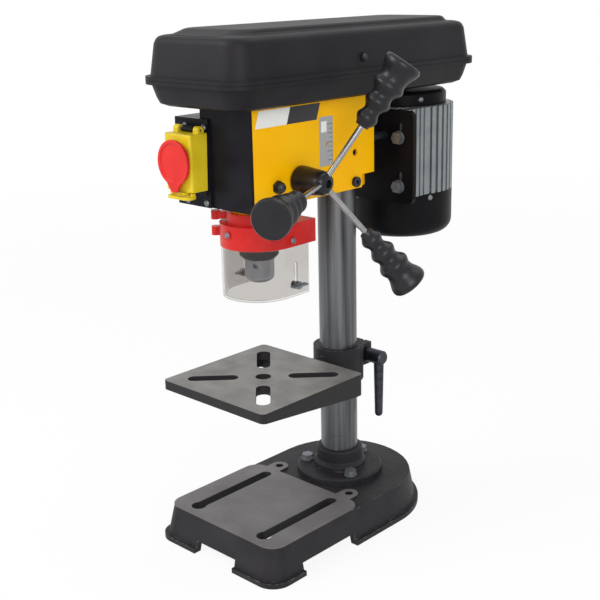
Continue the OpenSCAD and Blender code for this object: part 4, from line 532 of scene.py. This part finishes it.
# Drive: a splined sleeve in two bearings turns the spindle, with stepped pulleys and a V belt to the motor.
# The pulleys are die cast and turned; the belt is moulded rubber.
show(eased("drive_sleeve", "spindle_drive_sleeve", 0.3 * MM),
     ground, "pulley", "ground_steel", "drive_sleeve")
show(eased("sleeve_bearings", "sleeve_bearing_pair", 0.2 * MM),
     ground, "frame", "ground_steel", "sleeve_bearings")
cast_alloy, tree, shader, place = start_material("die_cast_aluminium", {"Metallic": 0.5})
# Die castings are pale and silky, with faint flow clouds and a fine tumbled grain.
flow_cloud = add_node(tree, "TexNoise", {
    "Vector": place, "Scale": 1 / (18 * MM), "Detail": 4.0}).outputs["Fac"]
alloy = add_node(tree, "ValToRGB", {"Fac": flow_cloud}, stops=((0.3, "#7B8083"), (0.7, "#8D9193")))
tree.links.new(alloy.outputs["Color"], shader.inputs["Base Color"])
tumble = add_node(tree, "TexNoise", {
    "Vector": place, "Scale": 1 / (0.9 * MM), "Detail": 2.0}).outputs["Fac"]
silk = add_node(tree, "MapRange", {"Value": tumble, "To Min": 0.34, "To Max": 0.5}).outputs["Result"]
tree.links.new(silk, shader.inputs["Roughness"])
tumbled = add_node(tree, "Bump", {"Height": tumble, "Strength": 0.1, "Distance": 0.1 * MM})
tree.links.new(tumbled.outputs["Normal"], shader.inputs["Normal"])
show(eased("spindle_pulley", "spindle_step_pulley", 0.4 * MM),
     cast_alloy, "pulley", "bare_aluminium", "spindle_pulley")
show(eased("motor_pulley", "motor_step_pulley", 0.4 * MM),
     cast_alloy, "rotor", "bare_aluminium", "motor_pulley")
rubber, tree, shader, place = start_material("belt_rubber", {"Roughness": 0.75})
# Wrapped belts show a diagonal cloth weave of a millimetre or two.
weave = add_node(tree, "TexWave", {
    "Vector": place, "Scale": 1 / (2.4 * MM)}, bands_direction="DIAGONAL").outputs["Fac"]
belt_tone = add_node(tree, "ValToRGB", {"Fac": weave}, stops=((0.0, "#161618"), (1.0, "#242427")))
tree.links.new(belt_tone.outputs["Color"], shader.inputs["Base Color"])
weave_bump = add_node(tree, "Bump", {"Height": weave, "Strength": 0.15, "Distance": 0.2 * MM})
tree.links.new(weave_bump.outputs["Normal"], shader.inputs["Normal"])
show(eased("drive_belt", "v_belt", 0.4 * MM), rubber, "frame", "belt_rubber", "drive_belt")


# Belt case: a black moulded pan screwed on the head, and a deep hinged lid with a sloping shoulder.
# Both have rolled rims; the lid turns on two pins at the left and closes with a screw at the right.
show(eased("belt_case", "belt_case_pan", 1.2 * MM, over=25, segments=3),
     moulded, "frame", "black_plastic", "belt_case")
shoulder_drop = 12 * MM
shoulder_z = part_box("belt_lid")[1].z - shoulder_drop
level_edge = 0.2 * MM
lid_shape = copy_node("belt_lid")
shoulder = [e for e in edges_over(lid_shape, 12) if min(v.co.z for v in e.verts) > shoulder_z
            and abs(e.verts[0].co.z - e.verts[1].co.z) < level_edge]
round_edges(lid_shape, shoulder, 3.5 * MM, 4)
rims = [e for e in edges_over(lid_shape, 30) if max(v.co.z for v in e.verts) < shoulder_z]
round_edges(lid_shape, rims, 0.9 * MM, 3)
show(store_mesh(lid_shape, "belt_case_lid"), moulded, "lid", "black_plastic", "belt_lid")
show(eased("lid_hinge_pins", "lid_pins", 0.2 * MM), bolt_steel, "frame", "bolt_steel", "lid_hinge_pins")
show(eased("lid_screw", "lid_closing_screw", 0.3 * MM), black_steel, "lid", "black_steel", "lid_screw")


# Feed: a pinion shaft through the head, a tapered hub, and three plated rods with beaded plastic grips.
# A flat spring in the round housing at the left lifts the quill again.
show(eased("feed_shaft", "feed_pinion_shaft", 0.2 * MM), ground, "feed", "ground_steel", "feed_shaft")
hub_black, tree, shader, place = start_material(
    "black_hub_casting", {"Roughness": 0.3, "Specular IOR Level": 0.3})
# The hub is cast, tumbled and sprayed gloss black, so broad soft highlights run along it.
hub_grain = add_node(tree, "TexNoise", {
    "Vector": place, "Scale": 1 / (4 * MM), "Detail": 3.0}).outputs["Fac"]
hub_tone = add_node(tree, "ValToRGB", {"Fac": hub_grain}, stops=((0.0, "#0F0F14"), (1.0, "#1A1A20")))
tree.links.new(hub_tone.outputs["Color"], shader.inputs["Base Color"])
hub_bump = add_node(tree, "Bump", {"Height": hub_grain, "Strength": 0.08, "Distance": 0.2 * MM})
tree.links.new(hub_bump.outputs["Normal"], shader.inputs["Normal"])
hub_low, hub_high = (Vector(c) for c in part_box("feed_hub"))
hub_axis = Vector((1, 0, 0))
hub_seat = Vector((hub_low.x, (hub_low.y + hub_high.y) / 2, (hub_low.z + hub_high.z) / 2))
# The taper ends in a dome with a small socket at its middle.
hub_outline = [(r * MM, h * MM) for r, h in (
    (0, 0), (14.5, 0), (16, 2), (16, 8), (13.7, 31), (13.4, 34), (12.6, 37), (11.2, 39.4), (9.2, 41.1),
    (7.0, 42.1), (5.4, 42.5), (4.6, 42.2), (4.3, 38.5), (0, 38.5))]
show(turned("feed_hub_boss", hub_outline, hub_seat, hub_axis), hub_black, "feed", "black_steel", "feed_hub")

chrome, tree, shader, place = start_material("bright_plated_rod", {"Metallic": 1.0})
# Nickel plate is bright and smooth, with dull spots of about a centimetre.
spots = add_node(tree, "TexNoise", {"Vector": place, "Scale": 1 / (9 * MM), "Detail": 4.0}).outputs["Fac"]
nickel = add_node(tree, "ValToRGB", {"Fac": spots}, stops=((0.0, "#7E7F80"), (1.0, "#A9A9A8")))
tree.links.new(nickel.outputs["Color"], shader.inputs["Base Color"])
spot_gloss = add_node(tree, "MapRange", {"Value": spots, "To Min": 0.1, "To Max": 0.3}).outputs["Result"]
tree.links.new(spot_gloss, shader.inputs["Roughness"])
show(eased("feed_rods", "feed_rod_set", 0.4 * MM), chrome, "feed", "plated_rod", "feed_rods")

grip_black, tree, shader, place = start_material(
    "moulded_grip_plastic", {"Roughness": 0.34, "Specular IOR Level": 0.3})
# The grips are soft black plastic with a bloom of grey and a fine mould texture.
bloom = add_node(tree, "TexNoise", {"Vector": place, "Scale": 1 / (20 * MM), "Detail": 3.0}).outputs["Fac"]
grip_tone = add_node(tree, "ValToRGB", {"Fac": bloom}, stops=((0.3, "#141418"), (0.7, "#1E1E23")))
tree.links.new(grip_tone.outputs["Color"], shader.inputs["Base Color"])
pores = add_node(tree, "TexNoise", {"Vector": place, "Scale": 1 / (0.9 * MM)}).outputs["Fac"]
pore_bump = add_node(tree, "Bump", {"Height": pores, "Strength": 0.08, "Distance": 0.2 * MM})
tree.links.new(pore_bump.outputs["Normal"], shader.inputs["Normal"])
rod_count = 3
rod_inset = 8.3 * MM
rod_root = hub_seat + hub_axis * (hub_high.x - hub_low.x - rod_inset)
rod_lean = math.radians(23)
rod_phase = math.radians(27)
grip_reach = 153 * MM
grip_l = 80 * MM
grip_end_r = 21 * MM
grip_bore = 3.3 * MM
grip_end_h = 4 * MM
bead_count = 3
bead_end = 0.77


def bead_radius(u):
    core = 7.2 + 4.3 * u + 4 * u * u
    swell = 2.0 * (1 - math.cos(bead_count * math.tau * u))
    return (core + swell) * MM


def grip_radius(t):
    if t < bead_end:
        return bead_radius(t / bead_end)
    neck = bead_radius(1)
    return neck + (grip_end_r - neck) * (1 - math.cos((t - bead_end) / (1 - bead_end) * math.pi)) / 2


grip_rings = 56
grip_steps = [i / grip_rings for i in range(grip_rings + 1)]
grip_side = [(grip_radius(t), t * (grip_l - grip_end_h)) for t in grip_steps]
grip_outline = [(grip_bore, 0.0)] + grip_side + [
    (grip_end_r - 0.4 * MM, grip_l - 2.2 * MM), (grip_end_r - 1.6 * MM, grip_l - 0.6 * MM),
    (grip_end_r - 3.6 * MM, grip_l), (0.0, grip_l)]
for number in range(rod_count):
    turn = rod_phase + number * math.tau / rod_count
    across = Vector((0, math.sin(turn), math.cos(turn)))
    way = hub_axis * math.sin(rod_lean) + across * math.cos(rod_lean)
    grip = turned(f"feed_grip_{number + 1}", grip_outline, rod_root + way * (grip_reach - grip_l), way, 72)
    show(grip, grip_black, "feed", "grip_plastic", "feed_grips")
show(eased("return_spring", "quill_return_spring", 0.1 * MM),
     black_steel, "frame", "black_steel", "return_spring")
show(eased("spring_housing", "return_spring_cup", 0.8 * MM),
     moulded, "frame", "black_plastic", "spring_housing")


# Motor: a finned aluminium frame with a black end bell above and a black fan cover below.
# Four bolts hold it on a steel plate, which slides on two bars in the rear of the head to tension the belt.
show(eased("motor_frame", "motor_finned_frame", 0.5 * MM),
     cast_alloy, "motor", "bare_aluminium", "motor_frame")
black_paint, tree, shader, place = start_material("satin_black_paint", {"Specular IOR Level": 0.07})
# Sprayed satin black over steel and alloy, with a soft ripple and a little dust grey.
dust = add_node(tree, "TexNoise", {"Vector": place, "Scale": 1 / (35 * MM), "Detail": 4.0}).outputs["Fac"]
satin = add_node(tree, "ValToRGB", {"Fac": dust}, stops=((0.3, "#0C0B0D"), (0.75, "#161518")))
tree.links.new(satin.outputs["Color"], shader.inputs["Base Color"])
spray = add_node(tree, "TexNoise", {"Vector": place, "Scale": 1 / (2 * MM)}).outputs["Fac"]
spray_gloss = add_node(tree, "MapRange", {"Value": spray, "To Min": 0.3, "To Max": 0.46}).outputs["Result"]
tree.links.new(spray_gloss, shader.inputs["Roughness"])
spray_bump = add_node(tree, "Bump", {"Height": spray, "Strength": 0.06, "Distance": 0.2 * MM})
tree.links.new(spray_bump.outputs["Normal"], shader.inputs["Normal"])
show(eased("motor_end_bell", "motor_upper_bell", 1.2 * MM, segments=3),
     black_paint, "motor", "black_paint", "motor_end_bell")
show(eased("fan_cover", "motor_fan_cover", 0.8 * MM), black_paint, "motor", "black_plastic", "fan_cover")
cover_low, cover_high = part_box("fan_cover")
bell_low, bell_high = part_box("motor_end_bell")
screw_head = [(r * MM, h * MM) for r, h in (
    (0, 2.2), (1.7, 2.0), (2.8, 1.4), (3.4, 0.5), (3.4, -0.8), (0, -0.8))]
screw_count = 4
cover_screw_z = cover_high.z - 5 * MM
bell_screw_z = bell_low.z + 8 * MM
for row, low, high, z, start in (("fan_cover", cover_low, cover_high, cover_screw_z, -18),
                                 ("end_bell", bell_low, bell_high, bell_screw_z, -27)):
    axis_point = Vector(((low.x + high.x) / 2, (low.y + high.y) / 2, z))
    for number in range(screw_count):
        turn = math.radians(start + 360 / screw_count * number)
        out = Vector((math.cos(turn), math.sin(turn), 0))
        seat = axis_point + out * (high.x - low.x) / 2
        show(turned(f"{row}_screw_{number + 1}", screw_head, seat, out, 24),
             bolt_steel, "motor", "bolt_steel")
show(eased("motor_plate", "motor_slide_plate", 0.8 * MM),
     black_paint, "motor", "black_paint", "motor_plate")
show(eased("motor_bolts", "motor_bolt_set", 0.5 * MM), bolt_steel, "motor", "bolt_steel", "motor_bolts")
shade_darkened_steel, tree, shader, place = start_material("shade_darkened_steel_bar", {"Metallic": 0.6})
# The bars are ground steel given a dark colour that is painted shade, with tone and gloss varying in cloudy
# patches.
bar_clouds = add_node(tree, "TexNoise", {"Vector": place, "Scale": 1 / (8 * MM), "Detail": 4.0}).outputs["Fac"]
bar_painted_shade = add_node(tree, "ValToRGB", {"Fac": bar_clouds}, stops=((0.0, "#26272A"), (1.0, "#45474B")))
tree.links.new(bar_painted_shade.outputs["Color"], shader.inputs["Base Color"])
bar_cloud_gloss = add_node(tree, "MapRange", {"Value": bar_clouds, "To Min": 0.25, "To Max": 0.5}).outputs["Result"]
tree.links.new(bar_cloud_gloss, shader.inputs["Roughness"])
show(eased("slide_bars", "motor_slide_bars", 0.4 * MM), shade_darkened_steel, "motor", "ground_steel", "slide_bars")
show(eased("motor_rotor", "motor_rotor_shaft", 0.4 * MM), ground, "rotor", "ground_steel", "motor_rotor")
show(eased("motor_bearings", "motor_bearing_pair", 0.2 * MM),
     ground, "motor", "ground_steel", "motor_bearings")
show(eased("cooling_fan", "motor_cooling_fan", 0.4 * MM), moulded, "rotor", "black_plastic", "cooling_fan")
winding, tree, shader, place = start_material("lacquered_winding", {"Metallic": 0.6, "Roughness": 0.4})
# Enamelled copper wire of about a millimetre, wound in rows.
rows = add_node(tree, "TexWave", {
    "Vector": place, "Scale": 1 / (4 * MM)}, bands_direction="Z").outputs["Fac"]
copper = add_node(tree, "ValToRGB", {"Fac": rows}, stops=((0.0, "#6E3A16"), (1.0, "#B56A30")))
tree.links.new(copper.outputs["Color"], shader.inputs["Base Color"])
row_bump = add_node(tree, "Bump", {"Height": rows, "Strength": 0.3, "Distance": 0.4 * MM})
tree.links.new(row_bump.outputs["Normal"], shader.inputs["Normal"])
show(eased("motor_stator", "motor_winding", 0.5 * MM), winding, "motor", "copper_winding", "motor_stator")


# Chuck guard: a red moulded bracket that turns on the nose of the head, with a clear sleeve and shield.
# Small screws hold the sleeve, and wing nuts hold the sliding shield at its height.
guard_red = gloss_plastic("red_guard_plastic", "#B81A18", "#CC2420")
show(eased("guard_bracket", "guard_band", 0.7 * MM), guard_red, "guard", "red_plastic", "guard_bracket")
show(eased("guard_screws", "guard_screw_set", 0.2 * MM), bolt_steel, "guard", "bolt_steel", "guard_screws")
show(eased("wing_nuts", "guard_wing_nuts", 0.3 * MM), bolt_steel, "guard", "bolt_steel", "wing_nuts")
clear, tree, shader, place = start_material("clear_polycarbonate", {
    "Base Color": linear("#E2E0DE"), "Transmission Weight": 0.99, "IOR": 1.2})
# Clear moulded sheet goes slightly grey with fine scratches.
scratches = add_node(tree, "Mapping", {"Vector": place, "Scale": (300.0, 300.0, 40.0)}).outputs["Vector"]
haze = add_node(tree, "TexNoise", {"Vector": scratches, "Scale": 1.0, "Detail": 4.0}).outputs["Fac"]
milk = add_node(tree, "MapRange", {"Value": haze, "To Min": 0.02, "To Max": 0.12}).outputs["Result"]
tree.links.new(milk, shader.inputs["Roughness"])
show(eased("guard_sleeve", "guard_clear_sleeve", 0.3 * MM), clear, "guard", "clear_plastic", "guard_sleeve")
show(eased("guard_shield", "guard_clear_shield", 0.3 * MM),
     clear, "shield", "clear_plastic", "guard_shield")


# Studio: a plain pale floor that runs to the horizon, soft lamps, and the camera at the photograph's angle.
# The floor shows almost white to the camera and keeps the machine's soft shadow.
floor_half = 60.0
floor_drop = 0.2 * MM
floor_shape = bmesh.new()
bmesh.ops.create_grid(floor_shape, x_segments=1, y_segments=1, size=floor_half)
floor = finish_mesh(floor_shape, "studio_floor")
floor.location.z = -floor_drop
floor_white, tree, shader, place = start_material(
    "studio_floor_white", {"Base Color": linear("#F4F4F4"), "Roughness": 0.9})


def backdrop_rays(tree):
    rays = add_node(tree, "LightPath").outputs
    direct = add_node(tree, "Math", {
        0: rays["Is Camera Ray"], 1: rays["Is Transmission Ray"]}, operation="MAXIMUM")
    mirrored = add_node(tree, "Math", {
        0: direct.outputs["Value"], 1: rays["Is Glossy Ray"]}, operation="MAXIMUM")
    return mirrored.outputs["Value"]


away = add_node(tree, "VectorMath", {0: place}, operation="LENGTH").outputs["Value"]
fade = add_node(tree, "MapRange", {
    "Value": away, "From Min": 0.6, "From Max": 2.5, "To Min": 0.9, "To Max": 1.0})
seen = add_node(tree, "Math", {
    0: backdrop_rays(tree), 1: fade.outputs["Result"]}, operation="MULTIPLY").outputs["Value"]
glow = add_node(tree, "Emission", {"Color": linear("#FFFFFF"), "Strength": 1.0})
blend = add_node(tree, "MixShader", {"Fac": seen, 1: shader.outputs["BSDF"], 2: glow.outputs["Emission"]})
tree.links.new(blend.outputs["Shader"], tree.nodes["Material Output"].inputs["Surface"])
floor.data.materials.append(floor_white)

world = bpy.data.worlds.new("studio_world")
bpy.context.scene.world = world
world.use_nodes = True
tree = world.node_tree
background = tree.nodes["Background"]
strength = add_node(tree, "MapRange", {"Value": backdrop_rays(tree), "To Min": 0.45, "To Max": 1.0})
background.inputs["Color"].default_value = linear("#FFFFFF")
tree.links.new(strength.outputs["Result"], background.inputs["Strength"])


def soft_lamp(name, place, target, size, power):
    lamp = bpy.data.lights.new(name, "AREA")
    lamp.size = size
    lamp.energy = power
    lamp_object = bpy.data.objects.new(name, lamp)
    bpy.context.scene.collection.objects.link(lamp_object)
    lamp_object.location = place
    lamp_object.rotation_euler = (Vector(target) - Vector(place)).to_track_quat("-Z", "Y").to_euler()


middle = (0.0, -0.05, 0.3)
lamp_size = 1.2
soft_lamp("key_lamp", (-0.9, -1.6, 1.7), middle, lamp_size, 31.0)
soft_lamp("fill_lamp", (1.7, -1.4, 1.0), middle, lamp_size, 22.0)
soft_lamp("top_lamp", (0.2, 0.6, 2.0), middle, lamp_size, 8.0)

camera_azimuth = math.radians(43.74)
camera_pitch = math.radians(16.75)
camera_roll = math.radians(-1.28)
camera_place = (0.8456, -0.9504, 0.6485)
lens = bpy.data.cameras.new("photo_camera")
lens.sensor_width = 36.0
lens.lens = 65.12
lens.clip_end = 200.0
camera = bpy.data.objects.new("photo_camera", lens)
bpy.context.scene.collection.objects.link(camera)
camera_turn = (Matrix.Rotation(camera_azimuth, 4, "Z") @ Matrix.Rotation(math.pi / 2 - camera_pitch, 4, "X")
               @ Matrix.Rotation(camera_roll, 4, "Z"))
camera.matrix_world = Matrix.Translation(camera_place) @ camera_turn
bpy.context.scene.camera = camera
bpy.context.scene.view_settings.view_transform = "Standard"

bpy.context.view_layer.update()
